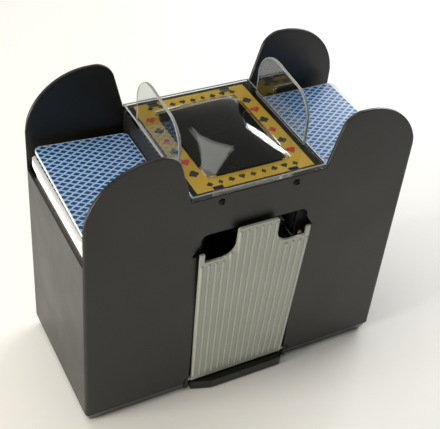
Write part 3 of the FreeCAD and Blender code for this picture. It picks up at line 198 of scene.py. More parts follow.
def add_finish(slot, name, code, rough, marks, **sockets):
    """A finish for a slot: its plain colour and roughness, and the marks of its skin."""
    material, tree, shader, place = start_material(name, code, rough, **sockets)
    skin(tree, shader, place, **marks)
    finishes[slot] = material


print("patches drift over", PATCH_RANGE, "of the noise")

# %% [markdown]
# ## Black plastics
# The case is ABS from a spark-eroded mould: satin, so its reflections are broad and soft. Its
# real pits are a tenth of a millimetre, and are drawn at half a millimetre so that they show.
# The base pan and the hatches come from a polished mould, which leaves slow waves and a gloss
# that mirrors the table. Inside, where nobody looks, the moulds were left rough and dull.

# %% Satin case, glossy pan and the dull inner parts
# satin moulded ABS, warm black, with a broad grey sheen
add_finish("case_black", "satin_black_abs", "#141411", 0.4, dict(
    pit_mm=0.5, depth_mm=0.012, patch_mm=38, roughness=(0.35, 0.45), tones=("#11110f", "#181713")))

# the same plastic from a polished mould: darker, with clear reflections that waver
add_finish("pan_black", "polished_black_abs", "#0f0f0e", 0.18, dict(
    pit_mm=9.0, depth_mm=0.010, patch_mm=24, roughness=(0.14, 0.24), tones=("#0d0d0c", "#121211")),
    IOR=1.5)

# unpolished ABS inside, a flat charcoal
add_finish("inner_black", "dull_black_abs", "#1a1a19", 0.6, dict(
    pit_mm=0.6, depth_mm=0.015, patch_mm=20, roughness=(0.54, 0.68), tones=("#161615", "#20201e")))

# nylon switch body, a little waxy
add_finish("switch_shell", "black_switch_nylon", "#181818", 0.5, dict(
    pit_mm=0.4, depth_mm=0.010, patch_mm=6, roughness=(0.42, 0.56), tones=("#151515", "#1e1e1e")))
print("black plastics", sorted(finishes))

# %% [markdown]
# ## Polystyrenes
# The top cover is clear polystyrene, which bends light almost as window glass does. Real light
# passes through it, so it is a solid with full transmission. Its moulded edges get a pale,
# half-frosted finish, a painted highlight that shows as pale lines where glints would be. The
# door is polystyrene with a silver-grey pigment: it hides the deck, and its gloss and its
# rounded ribs give long thin highlights.

# %% Clear cover, edges with painted glints and silver-grey door
# water-clear moulding, all reflection and refraction
add_finish("clear_cover", "clear_polystyrene", "#f3f7f5", 0.03, dict(
    pit_mm=14.0, depth_mm=0.004, patch_mm=30, roughness=(0.015, 0.05)),
    IOR=1.49, Transmission_Weight=1.0)

# pigmented with a few fine metal flakes, so its shine has a trace of metal
add_finish("door_clear_grey", "silver_grey_polystyrene", "#b0b4a9", 0.13, dict(
    pit_mm=5.0, depth_mm=0.004, patch_mm=22, roughness=(0.09, 0.17), tones=("#aaaea3", "#b6baaf")),
    Metallic=0.12)

# a pale, half-frosted finish: a painted highlight that stands in for glints along the edges
add_finish("cover_edge", "painted_glint_polystyrene_edge", "#eef2f2", 0.35, dict(
    pit_mm=0.4, depth_mm=0.02, patch_mm=9, roughness=(0.28, 0.42), tones=("#e8eded", "#f4f7f7")),
    IOR=1.49, Transmission_Weight=0.72)
print("polystyrenes ready")

# %% [markdown]
# ## Rubber and metals
# Rubber is dull: the feet are moulded, and the rollers are turned, with a texture that grips a
# card. Ground shafts, plated cans and screws are bare metal, so they keep the usual index and
# only their colour and roughness differ.

# %% Rubber and metals
# moulded rubber feet, dusty black
add_finish("foot_rubber", "matt_black_rubber", "#1b1b1a", 0.8, dict(
    pit_mm=0.7, depth_mm=0.02, patch_mm=9, roughness=(0.72, 0.88), tones=("#181817", "#222220")))

# turned and sanded tyres, a dry brownish grey
add_finish("roller_rubber", "turned_grip_rubber", "#32302c", 0.75, dict(
    pit_mm=0.6, depth_mm=0.03, patch_mm=8, roughness=(0.66, 0.84), tones=("#2c2a27", "#3a3733")))

# centreless-ground shafts, bright and even
add_finish("shaft_steel", "ground_steel", "#b4b5b8", 0.25, dict(
    pit_mm=0.3, depth_mm=0.003, patch_mm=5, roughness=(0.2, 0.32), tones=("#a9aaad", "#bdbec1")),
    Metallic=1.0)

# nickel plating on spring steel, warm and shiny
add_finish("contact_steel", "nickel_plated_steel", "#c2beb2", 0.22, dict(
    pit_mm=0.8, depth_mm=0.004, patch_mm=6, roughness=(0.16, 0.3), tones=("#b8b4a8", "#cbc7bc")),
    Metallic=1.0)

# zinc plating on screws, cool and slightly clouded
add_finish("screw_steel", "zinc_plated_steel", "#a6a8aa", 0.32, dict(
    pit_mm=0.4, depth_mm=0.004, patch_mm=3, roughness=(0.26, 0.42), tones=("#999b9e", "#b2b4b5")),
    Metallic=1.0)

# blackened steel screws, dark with a soft glint
add_finish("screw_black", "black_oxide_steel", "#33322f", 0.35, dict(
    pit_mm=0.4, depth_mm=0.004, patch_mm=2, roughness=(0.28, 0.44), tones=("#2b2a28", "#3d3c38")),
    Metallic=1.0)

# drawn and zinc-plated motor cans, with broader clouds than the screws
add_finish("motor_can", "zinc_plated_can", "#a9abac", 0.34, dict(
    pit_mm=1.2, depth_mm=0.004, patch_mm=7, roughness=(0.28, 0.42), tones=("#9c9ea0", "#b5b7b7")),
    Metallic=1.0)

# turned brass bushes, yellow and bright
add_finish("bush_brass", "turned_brass", "#c8a55c", 0.26, dict(
    pit_mm=0.3, depth_mm=0.004, patch_mm=3, roughness=(0.2, 0.34), tones=("#b8964f", "#d2b06a")),
    Metallic=1.0)
print(len(finishes), "finishes so far")

# %% [markdown]
# ## Gears, button and cells
# Acetal gears are waxy and let a little light in. The button is a small glossy moulding, and
# each cell wears a printed and shrunk plastic sleeve.

# %% Acetal, red ABS and sleeves
# moulded acetal, ivory, with a soft glow under the surface
add_finish("gear_resin", "moulded_acetal", "#e6e3d9", 0.38, dict(
    pit_mm=0.5, depth_mm=0.005, patch_mm=6, roughness=(0.32, 0.46), tones=("#dedacf", "#edeae2")),
    Subsurface_Weight=0.08)

# polished red ABS, with a sharp highlight
add_finish("button_red", "glossy_red_abs", "#b21510", 0.18, dict(
    pit_mm=6.0, depth_mm=0.006, patch_mm=8, roughness=(0.13, 0.24), tones=("#a8120e", "#bd1b14")),
    IOR=1.53)

# shrunk printed sleeve, plain blue with a satin shine
add_finish("cell_wrap", "printed_cell_sleeve", "#2f5f8a", 0.3, dict(
    pit_mm=3.0, depth_mm=0.004, patch_mm=12, roughness=(0.24, 0.38), tones=("#2b5880", "#356894")))
print(len(finishes), "finishes so far")

# %% [markdown]
# ## Printed board
# The label is coated board, printed all over with an opaque gold-yellow ink, and its suit marks
# are separate inks on top. Inks under a coating are smooth and even, with a mild sheen.

# %% Board and inks
PRINTS = (
    ("gold_printed_board", "#f0c012", ("#eab80d", "#f6c91c")),
    ("red_ink", "#e8301a", ("#e22a15", "#ee3a22")),
    ("black_ink", "#15130f", ("#12100d", "#1b1813")),
)
for name, code, tones in PRINTS:
    add_finish(name, name, code, 0.45, dict(
        pit_mm=0.8, depth_mm=0.004, patch_mm=16, roughness=(0.34, 0.46), tones=tones))
finishes["label_print"] = finishes["gold_printed_board"]
print(len(PRINTS), "prints")

# %% [markdown]
# ## The back of a card
# A card's back is a trellis of blue lozenges on pale lines inside a narrow white border, under
# a varnish with a fine linen emboss. The pattern is worked out from each point's place on the
# card, so it stays sharp at any size and needs no picture.

# %% The trellis
LOZENGE_MM = (7.5, 4.7)         # a lozenge's width across and along the card
LINE_HALF = 0.15                # half a pale line, as a share of a lozenge
LINE_BLUR = 0.03
CROSSING_ROUND = 0.04           # how far the blue draws back where two lines cross
BORDER_MM = 0.5
BORDER_BLUR_MM = 0.05
CARD_MM = (63.5, 88.9)
LINEN_MM = 0.9                  # real emboss is a third of this, too fine to show
LINEN_DEPTH_MM = 0.006


def card_back(name, centre_mm):
    """The trellis about a card's centre.

    Two slanted counts, x / a + y / b and x / a - y / b, grow by one from lozenge to lozenge.
    A point lies on a pale line where either count is near a whole number.
    """
    material, tree, shader, place = start_material(
        name, "#1d4177", 0.33, Coat_Weight=0.25, Coat_Roughness=0.12)
    centred = add_node(tree, "ShaderNodeMapping", {
        "Vector": place, "Location": [-c * MM for c in (*centre_mm, 0)]})
    axes = add_node(tree, "ShaderNodeSeparateXYZ", {"Vector": centred.outputs["Vector"]})
    counts, margins, waves = [], [], []
    for axis, pitch, size in zip("XY", LOZENGE_MM, CARD_MM):
        along = axes.outputs[axis]
        count = add_node(tree, "ShaderNodeMath", {0: along, 1: pitch * MM}, operation="DIVIDE")
        off_centre = add_node(tree, "ShaderNodeMath", {0: along}, operation="ABSOLUTE")
        margin = add_node(tree, "ShaderNodeMath", {
            0: (size / 2 - BORDER_MM) * MM, 1: off_centre.outputs[0]}, operation="SUBTRACT")
        turns = add_node(tree, "ShaderNodeMath", {
            0: along, 1: math.tau * per_metre(LINEN_MM)}, operation="MULTIPLY")
        wave = add_node(tree, "ShaderNodeMath", {0: turns.outputs[0]}, operation="SINE")
        counts.append(count.outputs[0])
        margins.append(margin.outputs[0])
        waves.append(wave.outputs[0])
    off_line = []
    for slant in ("ADD", "SUBTRACT"):
        slanted = add_node(tree, "ShaderNodeMath", {0: counts[0], 1: counts[1]}, operation=slant)
        from_whole = add_node(tree, "ShaderNodeMath", {
            0: slanted.outputs[0], 1: 0.5}, operation="PINGPONG")
        off_line.append(from_whole.outputs[0])
    inside = add_node(tree, "ShaderNodeMath", {
        0: off_line[0], 1: off_line[1], 2: CROSSING_ROUND}, operation="SMOOTH_MIN")
    blue = add_node(tree, "ShaderNodeMapRange", {
        "Value": inside.outputs[0],
        "From Min": LINE_HALF - LINE_BLUR, "From Max": LINE_HALF + LINE_BLUR})
    inset = add_node(tree, "ShaderNodeMath", {0: margins[0], 1: margins[1]}, operation="MINIMUM")
    framed = add_node(tree, "ShaderNodeMapRange", {
        "Value": inset.outputs[0],
        "From Min": -BORDER_BLUR_MM * MM, "From Max": BORDER_BLUR_MM * MM})
    trellis = add_node(tree, "ShaderNodeMix", {
        0: blue.outputs["Result"], 6: linear("#9cc2e8"), 7: linear("#1a3c70")}, data_type="RGBA")
    printed = add_node(tree, "ShaderNodeMix", {
        0: framed.outputs["Result"], 6: linear("#e6e8ea"), 7: trellis.outputs[2]}, data_type="RGBA")
    tree.links.new(printed.outputs[2], shader.inputs["Base Color"])
    weave = add_node(tree, "ShaderNodeMath", {0: waves[0], 1: waves[1]}, operation="MULTIPLY")
    emboss = add_node(tree, "ShaderNodeBump", {
        "Height": weave.outputs[0], "Distance": LINEN_DEPTH_MM * MM})
    tree.links.new(emboss.outputs["Normal"], shader.inputs["Normal"])
    return material


print("about", round(CARD_MM[0] / LOZENGE_MM[0]), "lozenges across a card")

# %% [markdown]
# ## The cut edges of a deck
# A guillotine leaves a card's edge as raw pale paper. In a deck these edges show as fine level
# stripes, so the spots of the skin are drawn out sideways until they become stripes.

# %% Striped paper edges
EDGE_LINE_MM = 0.6              # two cards, because one is too thin to show
STRIPE_SQUEEZE = 0.02           # stripes are fifty times longer than they are high
material, tree, shader, place = start_material("cut_card_edges", "#ece7df", 0.6)
flat = add_node(tree, "ShaderNodeMapping", {
    "Vector": place, "Scale": (STRIPE_SQUEEZE, STRIPE_SQUEEZE, 1.0)})
skin(tree, shader, flat.outputs["Vector"], pit_mm=EDGE_LINE_MM, depth_mm=0.02, patch_mm=1.8,
     roughness=(0.5, 0.7), tones=("#dcd6cc", "#f4f1ea"))
finishes["playing_cards"] = material
print(len(finishes), "finishes")

# %% [markdown]
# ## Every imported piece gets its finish
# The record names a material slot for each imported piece. Pieces that keep their engineering
# shape, such as gears, shafts and rollers, only need the finish of that slot.

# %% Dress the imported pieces
for part in frame["record"]["subparts"]:
    packed = nodes[part["node"]]
    finish = finishes[part["material_slot"]]
    if not packed.material_slots:
        packed.data.materials.append(finish)
    for material_slot in packed.material_slots:
        material_slot.material = finish
print("dressed", len(nodes), "packed pieces")


# %% [markdown]
# ## Shapes from arrays
# A new piece is worked out as whole arrays of points, in millimetres, and made a mesh in one
# step. Its object sits at the origin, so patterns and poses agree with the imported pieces.

# %% Objects that ride on a body
def finish_piece(name, mesh, finish, body, sharp):
    """Makes a mesh face outwards, gives it a finish, and ties its object to the frame.

    It looks smooth up to the sharp angle, and a face with many corners is a flat end.
    """
    work = bmesh.new()
    work.from_mesh(mesh)
    bmesh.ops.recalc_face_normals(work, faces=work.faces)
    work.to_mesh(mesh)
    work.free()
    mesh.materials.clear()
    mesh.materials.append(finish)
    mesh.shade_smooth()
    mesh.set_sharp_from_angle(angle=math.radians(sharp))
    corners = corner_counts(mesh)
    flat_ends = mesh.attributes.new("sharp_face", "BOOLEAN", "FACE")
    flat_ends.data.foreach_set("value", corners > 4)
    piece = bpy.data.objects.new(name, mesh)
    scene.collection.objects.link(piece)
    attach(piece, body)
    return piece


def corner_counts(mesh):
    """The number of corners of each face."""
    corners = np.empty(len(mesh.polygons), dtype=np.int32)
    mesh.polygons.foreach_get("loop_total", corners)
    return corners


def add_piece(name, points, faces, finish, body, sharp=38, rim_finish=None):
    """An object from points in millimetres, whose faces with four corners may have a finish
    of their own."""
    mesh = bpy.data.meshes.new(name)
    mesh.from_pydata((np.asarray(points) * MM).tolist(), [], [tuple(face) for face in faces])
    piece = finish_piece(name, mesh, finish, body, sharp)
    if rim_finish:
        mesh.materials.append(rim_finish)
        on_rim = (corner_counts(mesh) == 4).astype(np.int32)
        mesh.polygons.foreach_set("material_index", on_rim)
    return piece


print("a piece may have a rim finish")

# %% [markdown]
# ## Slabs
# A slab is an outline carried through a thickness. Its faces are found by counting: ring after
# ring of corners, each joined to the next. Real sheet has no knife edge, so the outline is
# drawn in along a quarter circle at both ends.

# %% Rings and slabs
def ring_faces(rings, count):
    """Four-sided faces between closed rings of points, with a face over each end."""
    ring, corner = np.meshgrid(np.arange(rings - 1), np.arange(count), indexing="ij")
    after = (corner + 1) % count
    sides = np.stack([ring * count + corner, ring * count + after,
                      (ring + 1) * count + after, (ring + 1) * count + corner], -1).reshape(-1, 4)
    ends = [range(count)[::-1], range((rings - 1) * count, rings * count)]
    return [*sides.tolist(), *ends]


def drawn_in(outline, distance):
    """The outline moved inwards along the mean normal of the two edges at each point."""
    ahead = np.roll(outline, -1, 0) - outline
    ahead /= np.linalg.norm(ahead, axis=1, keepdims=True)
    behind = np.roll(ahead, 1, 0)
    normal = np.stack([-(ahead + behind)[:, 1], (ahead + behind)[:, 0]], 1)
    normal /= np.maximum(np.linalg.norm(normal, axis=1, keepdims=True), 1e-9)
    return outline + distance * normal


def slab(outline, low, high, edge, steps=3):
    """A plate: points (u, v, w) of the outline at each height w, and the faces.

    The rim at both ends follows a quarter circle: at angle a it is drawn in by
    edge (1 - sin a) at a height of edge (1 - cos a) from the face.
    """
    angles = np.linspace(0, math.pi / 2, steps + 1)
    draw = edge * (1 - np.sin(angles))
    lift = edge * (1 - np.cos(angles))
    draws = np.concatenate([draw, draw[::-1]])
    heights = np.concatenate([low + lift, high - lift[::-1]])
    rings = np.stack([np.column_stack([drawn_in(outline, d), np.full(len(outline), h)])
                      for d, h in zip(draws, heights)])
    return rings.reshape(-1, 3), ring_faces(len(rings), len(outline))


UNIT_SQUARE = np.array([(0.0, 0.0), (1.0, 0.0), (1.0, 1.0), (0.0, 1.0)])
print("a slab of 4 corners has", len(slab(UNIT_SQUARE, 0, 1, 0.1)[0]), "points")

# %% [markdown]
# ## Rounded outlines
# Cards, fins and lugs are all flat shapes with arcs at their corners. An arc has to touch both
# edges, so where it starts follows from its radius and the angle of the corner.

# %% Outlines with arcs
def rounded_corners(corners, radii, steps=8):
    """A closed outline whose corners are arcs that touch both edges.

    At a corner with a turn of t, the arc starts r tan(t / 2) along each edge.
    """
    corners = np.asarray(corners, float)
    pieces = []
    for number, radius in enumerate(radii):
        here = corners[number]
        before = corners[number - 1] - here
        after = corners[(number + 1) % len(corners)] - here
        before /= np.linalg.norm(before)
        after /= np.linalg.norm(after)
        half = math.acos(np.clip(before @ after, -1, 1)) / 2
        if radius == 0:
            pieces.append(here[None])
            continue
        reach = radius / math.tan(half)
        centre = here + (before + after) / np.linalg.norm(before + after) * radius / math.sin(half)
        first = here + before * reach - centre
        last = here + after * reach - centre
        start = math.atan2(first[1], first[0])
        sweep = (math.atan2(last[1], last[0]) - start + math.pi) % (2 * math.pi) - math.pi
        turn = start + sweep * np.linspace(0, 1, steps + 1)
        pieces.append(centre + radius * np.column_stack([np.cos(turn), np.sin(turn)]))
    return np.concatenate(pieces)


def rectangle(half_u, half_v, radius, steps=4, centre=(0, 0)):
    """A rectangle with rounded corners, anticlockwise."""
    square = np.array([(-half_u, -half_v), (half_u, -half_v),
                       (half_u, half_v), (-half_u, half_v)], float)
    return rounded_corners(square, [radius] * 4, steps) + centre


print("a rounded rectangle has", len(rectangle(1, 1, 0.2)), "points")


# %% [markdown]
# ## Case, pan and other mouldings
# The engineering shape of these pieces is right, but its edges are mathematically sharp, and
# real mouldings never are. A merged copy has its flat areas joined into single faces, and a
# narrow bevel, a few tenths of a millimetre, rounds each edge so that it catches a thin line.

# %% A copy with softened edges
MERGE_MM = 0.002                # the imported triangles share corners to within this
FLAT_ANGLE = 0.4                # degrees, under which two faces are one flat area
EDGE_ANGLE = 30                 # degrees, over which an edge is a real edge
EDGE_STEPS = 2


def softened(node, name, edge_mm, slot, body):
    """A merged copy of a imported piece, with a bevel on every edge over EDGE_ANGLE."""
    work = bmesh.new()
    work.from_mesh(nodes[node].data)
    bmesh.ops.remove_doubles(work, verts=work.verts, dist=MERGE_MM * MM)
    bmesh.ops.dissolve_limit(work, angle_limit=math.radians(FLAT_ANGLE),
                             verts=work.verts, edges=work.edges)
    mesh = bpy.data.meshes.new(name)
    work.to_mesh(mesh)
    work.free()
    piece = finish_piece(name, mesh, finishes[slot], body, EDGE_ANGLE)
    if edge_mm:
        bevel = piece.modifiers.new("softened edges", "BEVEL")
        bevel.width = edge_mm * MM
        bevel.segments = EDGE_STEPS
        bevel.limit_method = "ANGLE"
        bevel.angle_limit = math.radians(EDGE_ANGLE)
        bevel.use_clamp_overlap = False
        bevel.harden_normals = True
    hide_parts(node)
    return piece


MOULDINGS = (                   # piece, new name, edge in mm, finish, body
    ("outer_case", "case_shell", 0.6, "case_black", "case"),
    ("base_pan", "pan_shell", 0.25, "pan_black", "case"),
    ("rubber_feet", "foot_pads", 0.3, "foot_rubber", "case"),
    ("base_screws", "pan_screws", 0.15, "screw_steel", "case"),
    ("left_battery_hatch", "left_hatch", 0.2, "pan_black", "left_hatch"),
    ("right_battery_hatch", "right_hatch", 0.2, "pan_black", "right_hatch"),
    ("push_button", "start_button", 0.15, "button_red", "button"),
)
for node, name, edge_mm, slot, body in MOULDINGS:
    softened(node, name, edge_mm, slot, body)
print("softened", len(MOULDINGS), "mouldings")

# %% [markdown]
# ## The ribbed door
# The door is one moulding: a leaning plate with sixteen fanned ribs, finger scallops beside a
# tongue, and pins at its foot. The engineering shape already has each rib and its round ends,
# so a merged copy is enough, and it keeps the door one closed solid.

# %% The door
door = softened("front_door", "ribbed_door", 0, "door_clear_grey", "door")
print("door", len(door.data.polygons), "faces")


# %% [markdown]
# ## The clear cover
# The cover is a plate with a raised rim and a domed window, moulded in one. Seen as a height
# above the ground, its top and its underside are two functions on the same grid. A square
# pillow is worked out by multiplying one bulge across by one bulge along.

# %% Plate, rim and dome
DOME_HALF = (30.0, 38.75)
DOME_CENTRE_Y = 0.75
DOME_RISE = 9.0
DOME_WALL = 1.5
DOME_POWER = 3                  # 2 is a cushion, and a large one a box
PLATE_MM = 2.4
PLATE_HALF = np.array([46.5, 52.3])
RIM_RISE = 0.9
RIM_WIDTH = 1.5
plate_under = label_high[2]
plate_top = plate_under + PLATE_MM
rim_inside = PLATE_HALF - RIM_WIDTH


def pillow(x, y, inset):
    """Height of a smooth pillow: (1 - |x / a|^3) (1 - |y / b|^3) of its rise, and none outside."""
    across = 1 - np.abs(x / (DOME_HALF[0] - inset)) ** DOME_POWER
    along = 1 - np.abs((y - DOME_CENTRE_Y) / (DOME_HALF[1] - inset)) ** DOME_POWER
    return (DOME_RISE - inset) * np.maximum(across, 0) * np.maximum(along, 0)


def ramp(distance, width):
    """Climbs from 0 to 1 over a width, as 3 t^2 - 2 t^3."""
    t = np.clip(distance / width, 0, 1)
    return t * t * (3 - 2 * t)


print("plate top at z", round(float(plate_top), 1))

# %% [markdown]
# ## Where the grid lines go
# An even grid blurs a step in height, because one square spans it. So extra lines are laid
# close to each place where the height changes fast: the dome's edges and the rim's.

# %% Crowded grid lines
GRID_MM = 1.6
NEAR_STEPS = np.array([-0.45, -0.15, -0.02, 0.02, 0.15, 0.45])


def either_side(centre, *distances):
    """The places that lie at each distance from a centre, on both sides."""
    return [centre + side * distance for distance in distances for side in (-1, 1)]


def crowded(half, places):
    """Grid lines across a width, evenly spaced, with extra ones close to each place."""
    even = np.linspace(-half, half, int(2 * half / GRID_MM) + 1)
    near = (np.array(places)[:, None] + NEAR_STEPS).ravel()
    lines = np.unique(np.round(np.concatenate([even, near]), 3))
    return lines[np.abs(lines) <= half]


x_lines = crowded(PLATE_HALF[0], either_side(0, DOME_HALF[0], DOME_HALF[0] - DOME_WALL)
                  + either_side(0, rim_inside[0], PLATE_HALF[0]))
y_lines = crowded(PLATE_HALF[1], either_side(DOME_CENTRE_Y, DOME_HALF[1], DOME_HALF[1] - DOME_WALL)
                  + either_side(0, rim_inside[1], PLATE_HALF[1]))
grid_x, grid_y = np.meshgrid(x_lines, y_lines, indexing="ij")
print("grid of", grid_x.shape)

# %% Two heights at each crossing
RIM_INNER_START = 0.3           # the rim falls off this far before its inner edge
RIM_INNER_SLOPE = 0.45
RIM_CHAMFER = 0.3
RIM_OUTER_SHARE = 0.6           # its height at the very outside, as a share
from_side = np.minimum(PLATE_HALF[0] - np.abs(grid_x), PLATE_HALF[1] - np.abs(grid_y))
inner_slope = 1 - ramp(from_side - RIM_WIDTH + RIM_INNER_START, RIM_INNER_SLOPE)
chamfer = RIM_OUTER_SHARE + (1 - RIM_OUTER_SHARE) * ramp(from_side, RIM_CHAMFER)
top = plate_top + np.maximum(pillow(grid_x, grid_y, 0.0), RIM_RISE * inner_slope * chamfer)
in_hollow = ((np.abs(grid_x) < DOME_HALF[0] - DOME_WALL)
             & (np.abs(grid_y - DOME_CENTRE_Y) < DOME_HALF[1] - DOME_WALL))
under = np.where(in_hollow, plate_top + pillow(grid_x, grid_y, DOME_WALL), plate_under)
print("heights from", round(float(under.min()), 1), "to", round(float(top.max()), 1))


# %% [markdown]
# ## Closing the cover
# Clear plastic has to be a closed solid, or light would enter it and never leave. A strip
# round the outside joins the two height fields. The outermost top faces get a pale finish, a
# painted highlight, so that the rim shows as a pale frame of glints.

# %% A solid between two height fields
def closed_field(x, y, top, under):
    """Points and faces of the solid between two height fields on one grid."""
    rows, columns = x.shape
    upper = np.stack([x, y, top], -1).reshape(-1, 3)
    lower = np.stack([x, y, under], -1).reshape(-1, 3)
    first = (np.arange(rows - 1)[:, None] * columns + np.arange(columns - 1)[None]).ravel()
    quads = np.stack([first, first + columns, first + columns + 1, first + 1], -1)
    number = np.arange(rows * columns).reshape(rows, columns)
    outside = np.concatenate([number[:, 0], number[-1, 1:], number[-2::-1, -1], number[0, -2:0:-1]])
    following = np.roll(outside, -1)
    strip = np.stack([outside, following, following + len(upper), outside + len(upper)], -1)
    faces = np.concatenate([quads, quads[:, ::-1] + len(upper), strip])
    return np.concatenate([upper, lower]), faces.tolist()


COVER_SHARP = 32                # degrees, over which an edge of the cover looks sharp
RIM_GLINT_REACH = 0.9               # how far in from the outside the painted glint finish reaches
points, faces = closed_field(grid_x, grid_y, top, under)
cover = add_piece("domed_cover", points, faces, finishes["clear_cover"], "case",
                  sharp=COVER_SHARP)
cover.data.materials.append(finishes["cover_edge"])
middles = np.empty(len(faces) * 3)
cover.data.polygons.foreach_get("center", middles)
middles = np.abs(middles.reshape(-1, 3)) / MM
# top faces near the outside get the pale finish: a painted highlight for the rim's glints
outermost = ((PLATE_HALF[0] - middles[:, 0] < RIM_GLINT_REACH)
             | (PLATE_HALF[1] - middles[:, 1] < RIM_GLINT_REACH))
glinting = outermost & (middles[:, 2] > plate_top)
cover.data.polygons.foreach_set("material_index", glinting.astype(np.int32))
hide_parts("top_cover")
print("cover of", len(faces), "faces,", int(glinting.sum()), "of them blasted")

# %% [markdown]
# ## The two fins
# A clear fin stands at each side of the cover and keeps the cards from spilling onto it. Each
# is a leaning outline with big round upper corners, carried through two millimetres. Its
# rounded rim has the pale finish, a painted highlight that shows as a pale line.

# %% Fins
FIN_FRONT, FIN_BACK = -28.5, 34.5
FIN_TOP_FRONT, FIN_TOP_BACK = 209.7, 215.2      # before the corners are rounded
FIN_RADII = (0, 0, 20.0, 18.0)
FIN_ARC_STEPS = 24
FIN_HALF_THICK = 1.0
FIN_EDGE = 0.45
FIN_X = 44.0
HAIR_MM = 0.02                  # keeps two clear faces out of one plane
fin_foot = plate_top - HAIR_MM
fin_outline = rounded_corners(
    [(FIN_FRONT, fin_foot), (FIN_BACK, fin_foot), (FIN_BACK, FIN_TOP_BACK), (FIN_FRONT, FIN_TOP_FRONT)],
    FIN_RADII, FIN_ARC_STEPS)
for side, sign in (("left", -1), ("right", 1)):
    inner, outer = sign * FIN_X - FIN_HALF_THICK, sign * FIN_X + FIN_HALF_THICK
    flat_points, faces = slab(fin_outline, inner, outer, FIN_EDGE)
    # the rim gets the pale finish, a painted highlight
    add_piece(f"{side}_fin", flat_points[:, [2, 0, 1]], faces, finishes["clear_cover"],
              "case", rim_finish=finishes["cover_edge"])
print("fins up to z", round(float(fin_outline[:, 1].max()), 1))

# %% [markdown]
# ## Lugs
# Four short lugs hang under the cover, just inside the case walls, and the cover screws bite
# into them. They are clear too, and their rims have the pale finish, a painted highlight that
# glints behind the front rim.

# %% Lugs that take the cover screws
LUG_HALF = (4.0, 1.35)
LUG_CORNER = 0.4
LUG_EDGE = 0.25
LUG_DROP = 9.0
LUG_X, LUG_Y = 26.0, 48.7
LUG_SIGNS = ((-1, -1), (1, -1), (-1, 1), (1, 1))
for number, (across, along) in enumerate(LUG_SIGNS):
    lug = rectangle(*LUG_HALF, LUG_CORNER, centre=(across * LUG_X, along * LUG_Y))
    lug_points, faces = slab(lug, plate_under - LUG_DROP, plate_under - HAIR_MM, LUG_EDGE)
    # the lug's rim gets the pale finish, a painted highlight
    add_piece(f"cover_lug_{number + 1}", lug_points, faces, finishes["clear_cover"],
              "case", rim_finish=finishes["cover_edge"])
print(len(LUG_SIGNS), "lugs")


# %% [markdown]
# ## The printed label
# The label lies under the cover: a gold board with a window for the dome. Its face is lowered
# by a hair, so that the board and the plate above it don't share a plane.

# %% The board
LABEL_DROP = 0.06
label_top = label_high[2] - LABEL_DROP
board = softened("label_card", "gold_label", 0, "label_print", "case")
places = np.empty(len(board.data.vertices) * 3)
board.data.vertices.foreach_get("co", places)
places[2::3] = np.minimum(places[2::3], label_top * MM)
board.data.vertices.foreach_set("co", places)
board.data.update()
print("label face at z", round(float(label_top), 2))

# %% [markdown]
# ## Suit marks
# A suit mark is drawn as a distance in every direction from its middle. Where shapes overlap,
# the farthest one counts, so a club is three discs and a stem, and a heart two discs over a
# wedge. All sizes are shares of the mark's own height.

# %% Distances along rays
RAY_COUNT = 72
TURN = np.linspace(0, 2 * math.pi, RAY_COUNT, endpoint=False)
RAYS = np.column_stack([np.cos(TURN), np.sin(TURN)])
NEARLY_ZERO = 1e-9


def disc(x, y, radius):
    """How far each ray goes before it leaves a disc that holds the middle: the larger root of
    |t ray - centre| = radius."""
    along = RAYS @ (x, y)
    return along + np.sqrt(np.maximum(radius ** 2 - (x * x + y * y) + along ** 2, 0))


def wedge(*corners):
    """How far each ray goes before it leaves a convex polygon that holds the middle: the least
    distance to any of its edge lines."""
    corners = np.array(corners, float)
    edge = np.roll(corners, -1, 0) - corners
    normal = np.column_stack([edge[:, 1], -edge[:, 0]])
    reach = np.sum(normal * corners, 1)
    slope = RAYS @ normal.T
    return np.min(np.where(slope > NEARLY_ZERO, reach / np.maximum(slope, NEARLY_ZERO), np.inf), 1)


def union(*shapes):
    """The farthest of several shapes along each ray."""
    return np.maximum.reduce(shapes)


STEM = wedge((-0.17, -0.5), (0.17, -0.5), (0.02, 0.05), (-0.02, 0.05))
SUITS = {
    "diamond": wedge((0, -0.5), (0.4, 0), (0, 0.5), (-0.4, 0)),
    "heart": union(disc(-0.21, 0.17, 0.29), disc(0.21, 0.17, 0.29),
                   wedge((0, -0.5), (0.46, 0.03), (0, 0.22), (-0.46, 0.03))),
    "club": union(disc(0, 0.24, 0.26), disc(-0.23, -0.06, 0.26), disc(0.23, -0.06, 0.26), STEM),
    "spade": union(disc(-0.2, -0.08, 0.26), disc(0.2, -0.08, 0.26),
                   wedge((-0.42, -0.02), (0, -0.16), (0.42, -0.02), (0, 0.5)), STEM),
}
print(len(SUITS), "suits of", RAY_COUNT, "rays")

# %% [markdown]
# ## Printing the marks
# Six marks run down each side of the label, and a row of smaller ones fills the front and the
# back band. Each is a film of ink three hundredths of a millimetre thick, and all the marks of
# one ink are one piece.

# %% Marks on the label
INK_MM = 0.03


def marks(name, ink, placed):
    """One piece of ink: each mark is its suit's outline, moved and sized, carried through the film."""
    all_points, all_faces, count = [], [], 0
    for suit, x, y, size in placed:
        outline = RAYS * SUITS[suit][:, None] * size + (x, y)
        mark_points, mark_faces = slab(outline, label_top, label_top + INK_MM, 0.0, 1)
        all_points.append(mark_points)
        all_faces += [[corner + count for corner in face] for face in mark_faces]
        count += len(mark_points)
    return add_piece(name, np.concatenate(all_points), all_faces, finishes[ink], "case")


SIDE_BAND_X = 34.25
MARK_PITCH = 12.0
MARK_SIZE = 6.6
BANDS = {
    1: ("club", "heart", "club", "diamond", "spade", "heart"),
    -1: ("heart", "spade", "diamond", "club", "heart", "club"),
}
side_marks = [
    (suit, sign * SIDE_BAND_X, DOME_CENTRE_Y + ((len(suits) - 1) / 2 - number) * MARK_PITCH, MARK_SIZE)
    for sign, suits in BANDS.items() for number, suit in enumerate(suits)
]

